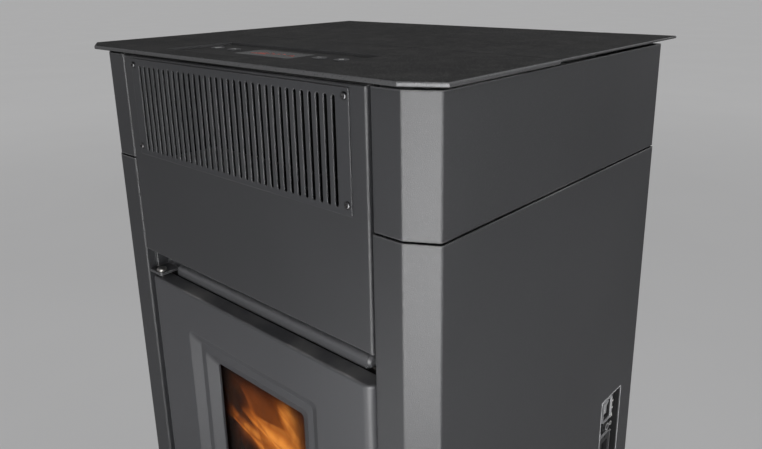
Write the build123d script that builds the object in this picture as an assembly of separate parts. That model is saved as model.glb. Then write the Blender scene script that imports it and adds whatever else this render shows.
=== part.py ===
from build123d import *
import math
import os

# A free-standing pellet stove in folded steel sheet. Millimetres. While the pieces are built,
# y = 0 is the plane of the front strips, +y runs to the rear, x = 0 is the middle and z = 0 is
# the floor. Every piece is moved along y at the end, so that the stove stands over its origin.

# ---------------------------------------------------------------- casing
TOP_Z = 1010.0             # upper face of the top plate and of the hopper lid
BODY_HALF = 270.0          # half the width over the side panels
BODY_DEPTH = 455.0         # front strips to the rear edge of the side panels
SHEET = 1.5                # casing sheet
BEND_R = 2.2               # outer radius of the casing's bends
OPENING_HALF = 205.0       # half the front opening between the strips
STRIP_W = 34.5             # width of a front strip
BEVEL_Y = 17.0             # depth of the corner bevel, front to rear
FLANGE_FRONT = 12.0        # depth of the flange folded back beside the front opening
FLANGE_REAR = 18.0         # width of the rear flange of a side panel
UPPER_INSET = 0.8          # the upper side panels stand back by this much
SPLIT_DROP = 138.6         # top plate's face to the joint between upper and lower side panels
SPLIT_GAP = 2.0
SIDE_TOP_DROP = 9.6        # top plate's upper face to the top edge of the side panels
BASE_Z = 42.0              # underside of the base pan and lower edge of the casing
BASE_T = 2.5
SEAT_GAP = 0.3             # gap between pieces that rest close to each other
REACH = 1.0                # how far a cutter runs past the face that it cuts
CHASSIS_FIT = 2.0          # front opening's edge to the inner face of the chassis sides
REAR_SPLIT = 560.0         # joint between the upper and the lower rear panel
REAR_SPLIT_GAP = 1.0

# ---------------------------------------------------------------- top plate and hopper lid
PLATE_SIDE = 13.5          # overhang of the plate beside the side panels
PLATE_T = 5.0
PLATE_FRONT = 13.0         # overhang of the plate in front of the strips
PLATE_BEVEL_X = 36.0
PLATE_BEVEL_Y = 20.0
PLATE_REAR = 177.0
LID_GAP = 1.4
LID_BACK = 7.6             # overhang of the lid behind the casing
LID_T = 3.0
LID_NOTCH = 2.0            # depth of the notches for the hinges
FRAME_BAR = 21.0           # width of the side bars of the frame under the plate
FRAME_CROSS = 10.5         # width of its front and rear bars
FRAME_Y0 = 3.0
SEAL_W = 12.0
HINGE_X = 192.0            # middle of a lid hinge
HINGE_BACK = 13.0          # casing's rear edge to the axis of the lid hinges
HINGE_DROP = 5.5           # top plate's face down to that axis
KNUCKLE_R = 4.5
PIN_R = 2.5
KNUCKLE_W = 10.0
HINGE_PLATE_HALF = 22.0
HINGE_PLATE_H = 44.0
HINGE_PLATE_T = 2.5
ARM_DROP = 7.5             # hinge axis down to the upper face of an arm
ARM_T = 4.0
ARM_LIP = 1.0              # the arm ends this far behind the axis
ARM_ROOT = 17.0            # height of the arm's root on the plate
RUN_GAP = 0.05             # radial clearance of a turning fit
SIDE_GAP = 0.2             # end clearance beside a turning piece

# ---------------------------------------------------------------- control panel
PANEL_HALF = 127.5
PANEL_Y0 = 15.0
PANEL_Y1 = 104.0
PANEL_DROP = 2.8           # the panel's face lies this far below the plate
PANEL_SKIN = 2.2
PANEL_WALL = 2.5
PANEL_FIT = 0.5            # gap between panel and plate all round
WINDOW_HALF = 46.0
WINDOW_Y0 = 48.0
WINDOW_Y1 = 88.0
WINDOW_T = 1.2
BUTTON_X = (-104.0, -72.0, 72.0, 104.0)
BUTTON_Y = 68.0
BUTTON_R = 8.0
BUTTON_FIT = 0.3
BUTTON_PROUD = 1.2
BUTTON_TRAVEL = 0.8
BOARD_T = 1.6
BOARD_DROP = 6.0           # underside of the panel's skin to the board
BOARD_IN = 5.0             # panel's edge to the board's edge
POST_R = 3.0
POST_IN_X = 12.0
POST_IN_Y = 10.0
PANEL_EDGE_R = 0.8
WINDOW_LEDGE = 4.0         # width of the ledge that carries the window
WINDOW_FIT = 0.1
CAP_FLANGE = 2.0           # the caps' flange is wider by this much
CAP_FLANGE_T = 1.5
STEM_R = 2.5

# ---------------------------------------------------------------- front panel and grille
FRONT_FIT = 2.5            # gap between the front panel and the strips
DOOR_ROOM = 35.8           # door's top edge to the front panel's lower edge
GRILLE_HALF = 183.0
GRILLE_DROP = 13.0         # top plate's face to the grille's upper edge
GRILLE_H = 116.1
GRILLE_T = 1.5
SLOT_COUNT = 33
SLOT_PITCH = 10.25
SLOT_W = 4.7
SLOT_H = 102.5
SLOT_DROP = 7.6            # grille's upper edge to the top of the slots
WINDOW_MARGIN = 3.5        # the opening behind the slots is larger by this much
SCREW_IN_X = 5.0           # grille's edges to its screws
SCREW_IN_LOW = 10.3
SCREW_IN_HIGH = 7.4
SCREW_HEAD_R = 3.7
SCREW_HEAD_H = 2.4
SCREW_R = 1.9
SCREW_FIT = 0.1
SCREW_L = 7.0

# ---------------------------------------------------------------- air duct behind the grille
DUCT_BELOW = 18.9          # grille's lower edge to the duct's lower edge
DUCT_UNDER = 8.9           # duct's upper face to the top edge of the side panels
DUCT_BACK = 120.0
DUCT_LIP = 48.0

# ---------------------------------------------------------------- fire door
DOOR_SIDE_GAP = 5.0        # door's edge to the strips
DOOR_T = 22.0
DOOR_DROP = 296.4          # top plate's face down to the door's top edge
DOOR_BOTTOM = 276.0
DOOR_FRONT_R = 12.0        # rounding of the door's upright front edges
DOOR_REAR_R = 6.0
DOOR_TOP_R = 3.0
GLASS_HALF = 81.0          # half the width of the glass opening
GLASS_Z0 = 371.0
GLASS_DROP = 90.2          # door's top edge down to the glass opening
BEVEL_IN = 15.0            # width of the inner slope of the recess
BEVEL_LEDGE = 9.0          # flat step between the slopes
BEVEL_OUT = 14.0           # width of the outer slope
RECESS_STEP = 6.7          # depth of the flat step
RECESS_DEEP = 13.7         # depth at the glass opening
RECESS_R = 7.0
POCKET_Y = 17.0            # front of the pocket that holds gasket and glass
GLASS_LAP = 13.0           # the glass runs this far behind the opening's edge
GLASS_T = 4.0
GASKET_W = 8.0
POCKET_FIT = 1.0
CLIP_W = 26.0
CLIP_H = 18.0
CLIP_T = 2.0
CLIP_LAP = 7.0
CLIP_HALF = 8.0
CLIP_SCREW_R = 2.0
CLIP_SCREW_IN = 5.0        # length of its screw in the door
ROPE_OUT = 160.0           # half the outer width of the door rope
ROPE_W = 8.0
ROPE_DROP = 13.0           # door edge to the rope, above and below
DOOR_AXIS_IN = 12.0        # door's edge to the hinge axis
DOOR_AXIS_Y = 10.0
DOOR_PIN_R = 4.0
DOOR_PIN_HEAD_R = 6.5
DOOR_PIN_IN = 26.0         # length of a hinge pin inside the door
EAR_T = 3.0
EAR_EDGE_R = 4.0
PIN_HEAD_T = 4.0
EAR_GAP = 3.0              # door's top edge to the upper ear
EAR_GAP_LOW = 1.5          # lower ear to the door's bottom edge
EAR_HALF = 10.0
LEAF_H = 26.0
LEAF_T = 3.0

# ---------------------------------------------------------------- latch
LATCH_IN = 24.0            # door's edge to the spindle
LATCH_Z = 395.0
SPINDLE_R = 6.0
HUB_R = 12.0
HUB_L = 9.0
LEVER_BORE_Y = 20.0        # depth of the spindle in the lever, from the door's face
NECK_WALL = 1.5
LEVER_Y = 34.0             # front strips to the middle of the lever
LEVER_L = 112.0
LEVER_W = 17.0
LEVER_T = 12.0
CAM_L = 22.0
CAM_W = 12.0
CAM_Y0 = 25.0
CAM_T = 4.0
CATCH_IN = 190.0
CATCH_T = 1.8
CATCH_H = 30.0

# ---------------------------------------------------------------- rail over the door
RAIL_HALF = 171.0
RAIL_Y0 = 23.0
RAIL_D = 14.0
RAIL_H = 15.0
RAIL_R = 6.0
RAIL_LOW_R = 4.0           # rounding of the rail's lower front edge
SHIELD_LAP = 8.0           # the heat shield behind the rail runs this far behind the front panel
SHIELD_FOOT = 20.0         # width of its foot on the firebox

# ---------------------------------------------------------------- ash drawer and plinth
DRAWER_Z0 = 150.0
DRAWER_Z1 = 268.0
DRAWER_GAP = 3.5           # drawer's edge to the strips
DRAWER_FACE_D = 18.0
TRAY_HALF = 158.0
TRAY_Z0 = 170.0
TRAY_Z1 = 260.0
TRAY_SHORT = 34.0          # the tray ends this far before the firebox's rear
PULL_HALF = 70.0
PULL_Y = 26.0
PULL_R = 6.0
PULL_POST_X = 55.0
PULL_SCREW_R = 2.5
PULL_SCREW_L = 4.0         # the screw ends this far behind the face
PULL_POST_R = 5.0
PULL_Z = 222.0
PLINTH_Z1 = 145.0
PLINTH_GAP = 0.5
SHELF_SHORT = 20.0
SHELF_LIP = 16.0

# ---------------------------------------------------------------- firebox
BOX_HALF = 163.0
BOX_T = 3.0
BOX_Y0 = 30.3              # front face of the firebox
BOX_BACK = 183.0           # rear face of the firebox to the casing's rear edge
BOX_RISE = 5.0             # door's bottom edge to the firebox's bottom
BOX_BELOW = 3.2            # door's top edge to the firebox's top
MOUTH_HALF = 145.0
MOUTH_MARGIN = 22.0        # firebox edge to its mouth, above and below
ASH_X0 = 84.0
ASH_X1 = 148.0
ASH_Y0 = 60.0
ASH_SHORT = 36.0
LINING_T = 12.0
LINING_HALF = 158.0
LINING_BELOW = 20.4
GROOVE_W = 5.0
GROOVE_DEEP = 2.5
GROOVE_PITCH = 26.0
BAFFLE_BELOW = 76.4        # firebox's top to the baffle's underside
BAFFLE_T = 8.0
BAFFLE_Y0 = 95.0
LEDGE_W = 10.0
LEDGE_H = 6.0
TUBE_COUNT = 5
TUBE_R = 15.0
TUBE_WALL = 2.0
TUBE_BELOW = 38.4
TUBE_Y0 = 80.0
TUBE_SHORT = 32.0          # last tube's middle to the firebox's rear

# ---------------------------------------------------------------- burn pot and its air box
POT_HALF = 50.0
POT_BACK = 112.0           # pot's middle to the firebox's rear
POT_H = 57.0
POT_WALL = 3.0
POT_RIM = 8.0
POT_FIT = 1.0
POT_HOLE_R = 2.5
POT_HOLE_PITCH = 14.0
AIRBOX_HALF = 75.0
AIRBOX_TOP = 429.0
IGNITER_X = -22.0
IGNITER_Z = 398.0
IGNITER_R = 6.0
IGNITER_TAIL = 34.0        # the igniter runs this far behind the firebox

# ---------------------------------------------------------------- hopper and auger
HOPPER_IN = 15.0           # chassis side to the hopper's wall
HOPPER_FRONT = 11.0        # top plate's rear edge to the hopper
HOPPER_BACK = 9.0          # hopper to the casing's rear edge
HOPPER_FALL = 190.0        # height of the funnel
FLANGE_GAP = 2.0           # its flange to the top plate and to the rear panel
SPOUT_HALF = 26.0
SPOUT_BACK = 105.0
SPOUT_LEN = 48.0
COLLAR_LIP = 3.0           # the auger's collar stands out round the spout by this much
SPOUT_RISE = 40.0          # auger axis to the hopper's spout
GRID_T = 4.0
GRID_COLS = 9
GRID_ROWS = 6
GRID_BAR = 5.0
GRID_FIT = 0.5
AUGER_RISE = 181.0         # air box's top to the auger axis
AUGER_TUBE_R = 27.0
AUGER_WALL = 2.0
AUGER_L = 100.0
AUGER_BACK = 71.0          # auger tube's rear end to the casing's rear edge
AUGER_CAP = 3.0
FLIGHT_R = 23.5
FLIGHT_PITCH = 30.0
FLIGHT_TURNS = 2.75
FLIGHT_T = 2.0
SHAFT_R = 7.0
SHAFT_TIP_R = 5.0
SHAFT_IN = 12.0            # length of the shaft inside the gearbox
CHUTE_HALF = 22.0
CHUTE_IN = 2.0
CHUTE_LEN = 40.0
CHUTE_WALL = 2.0
CHUTE_DY = 57.0            # how far the chute leads forward
CHUTE_DZ = 73.0            # how far it leads down
GEARBOX_D = 30.0
GEARBOX_H = 60.0
GEAR_MOTOR_R = 28.0
GEAR_MOTOR_L = 32.0

# ---------------------------------------------------------------- smoke path
FAN_X = -120.0
FAN_Z = 190.0
FAN_R = 72.0
FAN_BEHIND = 28.0          # firebox's rear to the fan's drum
FAN_D = 52.0
FAN_WALL = 2.0
OUTLET_X1 = 10.0           # far end of the fan's outlet box
OUTLET_Z0 = 178.0
WHEEL_R = 60.0
WHEEL_D = 26.0
WHEEL_EYE_R = 35.0
WHEEL_BLADES = 10
BLADE_T = 2.0
FAN_SHAFT_R = 5.0
FAN_SHAFT_IN = 8.0         # length of the shaft inside the motor
FAN_FOOT_HALF = 40.0
FAN_FOOT_Y = 18.0
FAN_FOOT_L = 14.0
FAN_FOOT_LAP = 12.0        # the foot reaches this far up the drum
WHEEL_HUB_R = 12.0
WHEEL_GAP = 4.0            # wheel to the rear wall
WHEEL_PLATE_T = 2.0
FAN_MOTOR_R = 32.0
FAN_MOTOR_L = 66.0
DUCT_HALF_X = 40.0
SMOKE_Z0 = 148.0
SMOKE_Z1 = 352.0
SMOKE_PORT_HALF = 30.0
SMOKE_PORT_Z0 = 305.0
SMOKE_PORT_Z1 = 345.0
FLUE_X = -32.0
FLUE_Z = 220.0
FLUE_R = 40.0              # outside radius of the flue spigot
FLUE_WALL = 2.0
FLUE_FREE = 40.0           # length of the spigot behind the casing
PIPE_STEP = 1.0            # the pipes are thinner by this much inside the casing
PANEL_HOLE_FIT = 0.5
AIR_X = 45.0
AIR_Z = 325.0
AIR_R = 25.0               # outside radius of the combustion air pipe
AIR_WALL = 1.5
AIR_FREE = 35.0

# ---------------------------------------------------------------- room fan
BLOWER_X0 = 38.0
BLOWER_X1 = 162.0
BLOWER_BACK = 101.0        # its axis to the casing's rear edge
BLOWER_Z = 124.0
BLOWER_R = 30.0
BLOWER_BORE_R = 33.0
BLOWER_CASE = 38.0         # half the depth and height of the case round the impeller
BLOWER_TOP = 190.0
BLOWER_SLOTS = 18
BLOWER_SLOT_W = 6.0
BLOWER_RING = 6.0          # wall of the slotted drum
BLOWER_SHAFT_R = 4.0
BLOWER_SHAFT_IN = 8.0
BLOWER_OUTLET = 20.0       # half width of the upper outlet
BLOWER_INLET = 24.0        # half height of the rear inlet
BLOWER_FOOT_HALF = 25.0
BLOWER_FOOT_W = 10.0
BLOWER_FOOT_IN = 5.0
DRUM_GAP = 2.0             # drum's ends to the walls
DRUM_END_T = 2.0
BLOWER_MOTOR_R = 26.0
BLOWER_MOTOR_L = 38.0
VENT_COLS = 12             # slots of the vent plate in the rear panel
VENT_ROWS = 2
VENT_PITCH_X = 10.0
VENT_PITCH_Z = 55.0
VENT_SLOT_W = 5.0
VENT_SLOT_H = 44.0
VENT_MARGIN = 10.0         # outer slots to the plate's edge
VENT_LAP = 5.0             # the plate laps over the rear panel by this much
VENT_T = 1.2
PIPE_PLATE_RIM = 14.0      # a pipe's hole to the edge of the plate round it
VENT_Z0 = 73.0

# ---------------------------------------------------------------- service recess, right side
SERVICE_BACK = 38.0        # recess to the casing's rear edge
SERVICE_W = 55.0
ROCKER_W = 19.0            # hole for the switch in the pan
ROCKER_H = 27.0
RIM_LAP = 2.0              # a fitting's rim laps over the pan by this much
ROCKER_RIM_T = 1.8
ROCKER_DEEP = 16.0
ROCKER_WELL = 14.0
ROCKER_WELL_W = 14.0
ROCKER_WELL_H = 24.0
ROCKER_HALF = 6.8
ROCKER_PIN_R = 1.5
ROCKER_PIN_HALF = 8.0
ROCKER_PIN_IN = 2.0        # pan's face to the pin
INLET_W = 24.0
INLET_H = 30.0
INLET_DEEP = 22.0
INLET_RIM_W = 30.0
INLET_RIM_H = 42.0
INLET_RIM_T = 3.0
SOCKET_W = 17.0
SOCKET_H = 24.0
SOCKET_DEEP = 16.0
INLET_PIN_W = 4.0
INLET_PIN_T = 2.0
INLET_PIN_OUT = 5.0        # pan's face to the ends of the pins
EARTH_PIN_Y = 3.0          # the middle pin stands off the middle by this much
LIVE_PIN_Y = -1.0
LIVE_PIN_Z = 7.0
INLET_SCREW_Z = 18.5
INLET_SCREW_R = 1.6
FUSE_COLLAR = 2.5
FUSE_COLLAR_T = 2.0
FUSE_CAP_T = 3.0
FUSE_SLOT_HALF = 4.0
FUSE_SLOT_W = 1.2
RESET_PROUD = 6.0
RESET_TAIL = 10.0
RESET_STEP = 2.0           # the cap is wider than its tail by this much
SERVICE_Z0 = 389.4
SERVICE_Z1 = 539.4
SERVICE_DEEP = 8.0
SERVICE_FLANGE = 6.0
SERVICE_T = 1.5
ROCKER_Z = 514.0
ROCKER_TILT = 8.0
FUSE_Z = 488.0
FUSE_R = 6.0
INLET_Z = 452.0
RESET_Z = 410.0
RESET_R = 7.5

# ---------------------------------------------------------------- electrics and feet
CONTROL_D = 130.0
CONTROL_W = 35.0
CONTROL_BACK = 35.0
CONTROL_Z0 = 600.0
CONTROL_H = 140.0
PRESSURE_BACK = 95.0
PRESSURE_Z = 620.0
PRESSURE_R = 25.0
PRESSURE_L = 24.0
NIPPLE_L = 12.0            # hose nipples of the pressure switch
NIPPLE_R = 3.0
NIPPLE_Z = 8.0
FOOT_X = 225.0
FOOT_Y0 = 45.0
FOOT_BACK = 30.0
FOOT_R = 20.0
FOOT_H = 12.0
STUD_R = 5.0
NUT_R = 9.0
NUT_H = 8.0

# ---------------------------------------------------------------- worked-out places
SPLIT_Z = TOP_Z - SPLIT_DROP
DOOR_TOP = TOP_Z - DOOR_DROP
GLASS_Z1 = DOOR_TOP - GLASS_DROP
PLATE_HALF = BODY_HALF + PLATE_SIDE
PLATE_Z0 = TOP_Z - PLATE_T
LID_Z0 = TOP_Z - LID_T
LID_FRONT = PLATE_REAR + LID_GAP
LID_REAR = BODY_DEPTH + LID_BACK
HINGE_Y = BODY_DEPTH + HINGE_BACK
HINGE_Z = TOP_Z - HINGE_DROP
SIDE_TOP = TOP_Z - SIDE_TOP_DROP
BASE_TOP = BASE_Z + BASE_T
CHASSIS_IN = OPENING_HALF + CHASSIS_FIT
CHASSIS_OUT = CHASSIS_IN + SHEET
REAR_IN = BODY_DEPTH - 2 * SHEET
REAR_OUT = BODY_DEPTH - SHEET
FRONT_HALF = OPENING_HALF - FRONT_FIT
FRONT_BOTTOM = DOOR_TOP + DOOR_ROOM
GRILLE_Z1 = TOP_Z - GRILLE_DROP
GRILLE_Z0 = GRILLE_Z1 - GRILLE_H
SLOT_Z1 = GRILLE_Z1 - SLOT_DROP
SLOT_Z0 = SLOT_Z1 - SLOT_H
SCREW_X = GRILLE_HALF - SCREW_IN_X
SCREW_Z0 = GRILLE_Z0 + SCREW_IN_LOW
SCREW_Z1 = GRILLE_Z1 - SCREW_IN_HIGH
DUCT_Z0 = GRILLE_Z0 - DUCT_BELOW
DUCT_TOP = SIDE_TOP - DUCT_UNDER
DOOR_HALF = OPENING_HALF - DOOR_SIDE_GAP
DOOR_AXIS_X = -DOOR_HALF + DOOR_AXIS_IN
LATCH_X = DOOR_HALF - LATCH_IN
BOX_Y1 = BODY_DEPTH - BOX_BACK
BOX_Z0 = DOOR_BOTTOM + BOX_RISE
BOX_Z1 = DOOR_TOP - BOX_BELOW
SHIELD_TOP = FRONT_BOTTOM + SHIELD_LAP
DRAWER_HALF = OPENING_HALF - DRAWER_GAP
TRAY_REAR = BOX_Y1 - TRAY_SHORT
SHELF_REAR = BOX_Y1 - SHELF_SHORT
PLINTH_HALF = OPENING_HALF - PLINTH_GAP
ASH_Y1 = BOX_Y1 - ASH_SHORT
LINING_TOP = BOX_Z1 - LINING_BELOW
BAFFLE_Z = BOX_Z1 - BAFFLE_BELOW
TUBE_Z = BOX_Z1 - TUBE_BELOW
TUBE_PITCH = (BOX_Y1 - TUBE_Y0 - TUBE_SHORT) / (TUBE_COUNT - 1)
POT_Y = BOX_Y1 - POT_BACK
AIRBOX_Y0 = POT_Y - AIRBOX_HALF
IGNITER_REAR = BOX_Y1 + IGNITER_TAIL
HOPPER_HALF = CHASSIS_IN - HOPPER_IN
HOPPER_Y0 = PLATE_REAR + HOPPER_FRONT
HOPPER_Y1 = BODY_DEPTH - HOPPER_BACK
AUGER_Z = AIRBOX_TOP + AUGER_RISE
SPOUT_Y = BODY_DEPTH - SPOUT_BACK
SPOUT_Z = AUGER_Z + SPOUT_RISE
HOPPER_BEND = SPOUT_Z + HOPPER_FALL
GRID_Z = HOPPER_BEND + SEAT_GAP
AUGER_Y1 = BODY_DEPTH - AUGER_BACK
AUGER_Y0 = AUGER_Y1 - AUGER_L
CHUTE_Y0 = AUGER_Y0 + CHUTE_IN
FAN_Y0 = BOX_Y1 + FAN_BEHIND
BLOWER_Y = BODY_DEPTH - BLOWER_BACK
SERVICE_Y1 = BODY_DEPTH - SERVICE_BACK
SERVICE_Y0 = SERVICE_Y1 - SERVICE_W
SERVICE_MID_Y = (SERVICE_Y0 + SERVICE_Y1) / 2
CONTROL_Y0 = BODY_DEPTH - CONTROL_BACK - CONTROL_D
PRESSURE_Y = BODY_DEPTH - PRESSURE_BACK
FOOT_Y1 = BODY_DEPTH - FOOT_BACK
FLUE_REAR = BODY_DEPTH + FLUE_FREE
AIR_REAR = BODY_DEPTH + AIR_FREE
FRONT_MOST = -(LEVER_Y + LEVER_T / 2)
Y_MID = (FRONT_MOST + FLUE_REAR) / 2

PARTS = {}


def keep(name, *pieces):
    """Store the solids of one node under its name."""
    solids = []
    for piece in pieces:
        solids.extend(piece.solids())
    PARTS[name] = solids


def slab(x0, x1, y0, y1, z0, z1):
    """A box from its six faces."""
    return Pos((x0 + x1) / 2, (y0 + y1) / 2, (z0 + z1) / 2) * Box(x1 - x0, y1 - y0, z1 - z0)


def rod_x(x0, x1, y, z, r):
    return Pos((x0 + x1) / 2, y, z) * Rot(0, 90, 0) * Cylinder(r, x1 - x0)


def rod_y(x, y0, y1, z, r):
    return Pos(x, (y0 + y1) / 2, z) * Rot(90, 0, 0) * Cylinder(r, y1 - y0)


def rod_z(x, y, z0, z1, r):
    return Pos(x, y, (z0 + z1) / 2) * Cylinder(r, z1 - z0)


def mirrored(piece):
    """The same piece on the other side of the stove."""
    return mirror(piece, about=Plane.YZ)


def front_face(half_w, z0, z1, y, r=0.0):
    """A face in the plane y, centred on x = 0, with rounded corners if r is given."""
    plane = Plane(origin=(0, y, (z0 + z1) / 2), x_dir=(1, 0, 0), z_dir=(0, -1, 0))
    if r > 0:
        return plane * RectangleRounded(2 * half_w, z1 - z0, r)
    return plane * Rectangle(2 * half_w, z1 - z0)


def edges_at(piece, axis, value, direction=None):
    """Edges whose middle lies at a value on one axis, and that run along a direction."""
    found = []
    for edge in piece.edges():
        middle = edge.center()
        if abs(getattr(middle, axis.upper()) - value) > 0.01:
            continue
        if direction is not None:
            span = edge.bounding_box().size
            if getattr(span, direction.upper()) < 0.9 * edge.length:
                continue
        found.append(edge)
    return found


def left_normal(a, b):
    length = math.hypot(b[0] - a[0], b[1] - a[1])
    return (-(b[1] - a[1]) / length, (b[0] - a[0]) / length)


def offset_line(points, distance):
    """An open line moved to its left-hand side by a distance, with mitred corners."""
    moved = []
    for i, (x, y) in enumerate(points):
        before = left_normal(points[i - 1], points[i]) if i > 0 else None
        after = left_normal(points[i], points[i + 1]) if i < len(points) - 1 else None
        before = before or after
        after = after or before
        share = distance / (1 + before[0] * after[0] + before[1] * after[1])
        moved.append((x + (before[0] + after[0]) * share, y + (before[1] + after[1]) * share))
    return moved


def folded_sheet(points, z0, z1):
    """An upright sheet bent along a line, with its outer face on the given points."""
    outer = FilletPolyline(*points, radius=BEND_R)
    inner = FilletPolyline(*offset_line(points, SHEET), radius=BEND_R - SHEET)
    ends = [Line(outer @ 0, inner @ 0), Line(outer @ 1, inner @ 1)]
    edges = [*outer.edges(), *inner.edges(), *ends[0].edges(), *ends[1].edges()]
    return extrude(Pos(0, 0, z0) * make_face(edges), z1 - z0, dir=(0, 0, 1))


def shallow_pan(half_w, depth, z0, z1):
    """A front cover folded from sheet: a face with a flange to the rear along each edge."""
    block = slab(-half_w, half_w, 0, depth, z0, z1)
    block = fillet(edges_at(block, "y", 0), BEND_R)
    inside = slab(-half_w + SHEET, half_w - SHEET, SHEET, depth, z0 + SHEET, z1 - SHEET)
    return block - inside


def dome_screw(head_r=SCREW_HEAD_R, head_h=SCREW_HEAD_H, r=SCREW_R, length=SCREW_L):
    """A screw on +z: its head's seat at z = 0, a domed head above and the shank below."""
    head = Pos(0, 0, head_h / 2) * Cylinder(head_r, head_h)
    head = fillet(edges_at(head, "z", head_h), 0.8 * head_h)
    socket = Pos(0, 0, head_h) * extrude(RegularPolygon(0.4 * head_r, 6), -0.5 * head_h)
    shank = Pos(0, 0, -length / 2) * Cylinder(r, length)
    return head - socket + shank


# ---------------------------------------------------------------- casing pieces

def side_outline(inset):
    """The right side panel's outer line, from the front flange round to the rear flange."""
    line = [
        (OPENING_HALF, FLANGE_FRONT),
        (OPENING_HALF, 0),
        (OPENING_HALF + STRIP_W, 0),
        (BODY_HALF, BEVEL_Y),
        (BODY_HALF, BODY_DEPTH),
        (BODY_HALF - FLANGE_REAR, BODY_DEPTH),
    ]
    if inset == 0:
        return line
    shifted = offset_line(line, inset)
    shifted[0] = (shifted[0][0], FLANGE_FRONT)
    shifted[4] = (shifted[4][0], BODY_DEPTH)
    shifted[5] = (BODY_HALF - FLANGE_REAR, BODY_DEPTH)
    return shifted


def make_side_panels():
    lower = folded_sheet(side_outline(0), BASE_Z, SPLIT_Z - SPLIT_GAP / 2)
    upper = folded_sheet(side_outline(UPPER_INSET), SPLIT_Z + SPLIT_GAP / 2, SIDE_TOP)
    window = slab(BODY_HALF - 5, BODY_HALF + 5, SERVICE_Y0, SERVICE_Y1, SERVICE_Z0, SERVICE_Z1)
    keep("side_panel_lower_right", lower - window)
    keep("side_panel_lower_left", mirrored(lower))
    keep("side_panel_upper_right", upper)
    keep("side_panel_upper_left", mirrored(upper))


def make_chassis():
    front = FLANGE_FRONT + SEAT_GAP
    side = slab(CHASSIS_IN, CHASSIS_OUT, front, REAR_IN, BASE_TOP, SIDE_TOP)
    keep("chassis_sides", side, mirrored(side))
    inner = BODY_HALF - SHEET
    wide_from = BEVEL_Y + 5
    pan = slab(-inner, inner, wide_from, REAR_IN, BASE_Z, BASE_TOP)
    pan += slab(-OPENING_HALF, OPENING_HALF, front, wide_from, BASE_Z, BASE_TOP)
    for x in (-FOOT_X, FOOT_X):
        for y in (FOOT_Y0, FOOT_Y1):
            pan -= rod_z(x, y, BASE_Z - 1, BASE_TOP + 1, STUD_R)
    keep("base_pan", pan)


def make_rear_panel():
    """Upper and lower rear panels; in the lower one, the vent plate and a plate round each pipe."""
    half = BODY_HALF - SHEET - UPPER_INSET - REACH
    middle = REAR_SPLIT - REAR_SPLIT_GAP / 2
    upper = slab(-half, half, REAR_IN, REAR_OUT, middle + REAR_SPLIT_GAP, SIDE_TOP)
    lower = slab(-half, half, REAR_IN, REAR_OUT, BASE_Z, middle)
    near, far = REAR_IN - REACH, REAR_OUT + VENT_T + REACH
    pipe_plates = []
    for x, z, hole in (
        (FLUE_X, FLUE_Z, FLUE_R + PANEL_HOLE_FIT), (AIR_X, AIR_Z, AIR_R + PANEL_HOLE_FIT)
    ):
        half_wide = hole + PIPE_PLATE_RIM
        half_free = half_wide - VENT_LAP
        lower -= slab(x - half_free, x + half_free, near, far, z - half_free, z + half_free)
        plate = slab(
            x - half_wide, x + half_wide, REAR_OUT, REAR_OUT + VENT_T, z - half_wide, z + half_wide
        )
        pipe_plates.append(plate - rod_y(x, near, far, z, hole))
    x1 = BLOWER_X0 + 2 * VENT_MARGIN + (VENT_COLS - 1) * VENT_PITCH_X
    z1 = VENT_Z0 + 2 * VENT_MARGIN + (VENT_ROWS - 1) * VENT_PITCH_Z + VENT_SLOT_H
    lap = VENT_LAP
    lower -= slab(BLOWER_X0 + lap, x1 - lap, near, far, VENT_Z0 + lap, z1 - lap)
    vent = slab(BLOWER_X0, x1, REAR_OUT, REAR_OUT + VENT_T, VENT_Z0, z1)
    slot = slab(
        -VENT_SLOT_W / 2, VENT_SLOT_W / 2, near, far, -VENT_SLOT_H / 2, VENT_SLOT_H / 2
    )
    first_x = BLOWER_X0 + VENT_MARGIN
    first_z = VENT_Z0 + VENT_MARGIN + VENT_SLOT_H / 2
    cuts = []
    for column in range(VENT_COLS):
        for row in range(VENT_ROWS):
            place = Pos(first_x + VENT_PITCH_X * column, 0, first_z + VENT_PITCH_Z * row)
            cuts.append((place * slot).solid())
    keep("rear_panel", upper, lower, Part() + vent.cut(*cuts), *pipe_plates)


def make_feet():
    feet = []
    for x in (-FOOT_X, FOOT_X):
        for y in (FOOT_Y0, FOOT_Y1):
            pad = rod_z(x, y, 0, FOOT_H, FOOT_R)
            feet.append(fillet(edges_at(pad, "z", FOOT_H), 3))
            stud = rod_z(x, y, FOOT_H, BASE_TOP + 6, STUD_R)
            nut = Pos(x, y, BASE_Z - NUT_H) * extrude(RegularPolygon(NUT_R, 6), NUT_H)
            feet.append(stud + nut)
    keep("levelling_feet", *feet)


def make_front_panel():
    panel = shallow_pan(FRONT_HALF, FLANGE_FRONT, FRONT_BOTTOM, SIDE_TOP)
    reach = SLOT_PITCH * (SLOT_COUNT - 1) / 2 + SLOT_W / 2 + WINDOW_MARGIN
    low = SLOT_Z0 - WINDOW_MARGIN
    high = SLOT_Z1 + WINDOW_MARGIN
    panel -= slab(-reach, reach, -1, SHEET + 1, low, high)
    panel -= grille_screw_holes()
    keep("front_panel_upper", panel)


def grille_screw_places():
    return [(x, z) for x in (-SCREW_X, SCREW_X) for z in (SCREW_Z0, SCREW_Z1)]


def grille_screw_holes():
    holes = Part()
    for x, z in grille_screw_places():
        holes += rod_y(x, -GRILLE_T - 1, SHEET + 1, z, SCREW_R + SCREW_FIT)
    return holes


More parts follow.
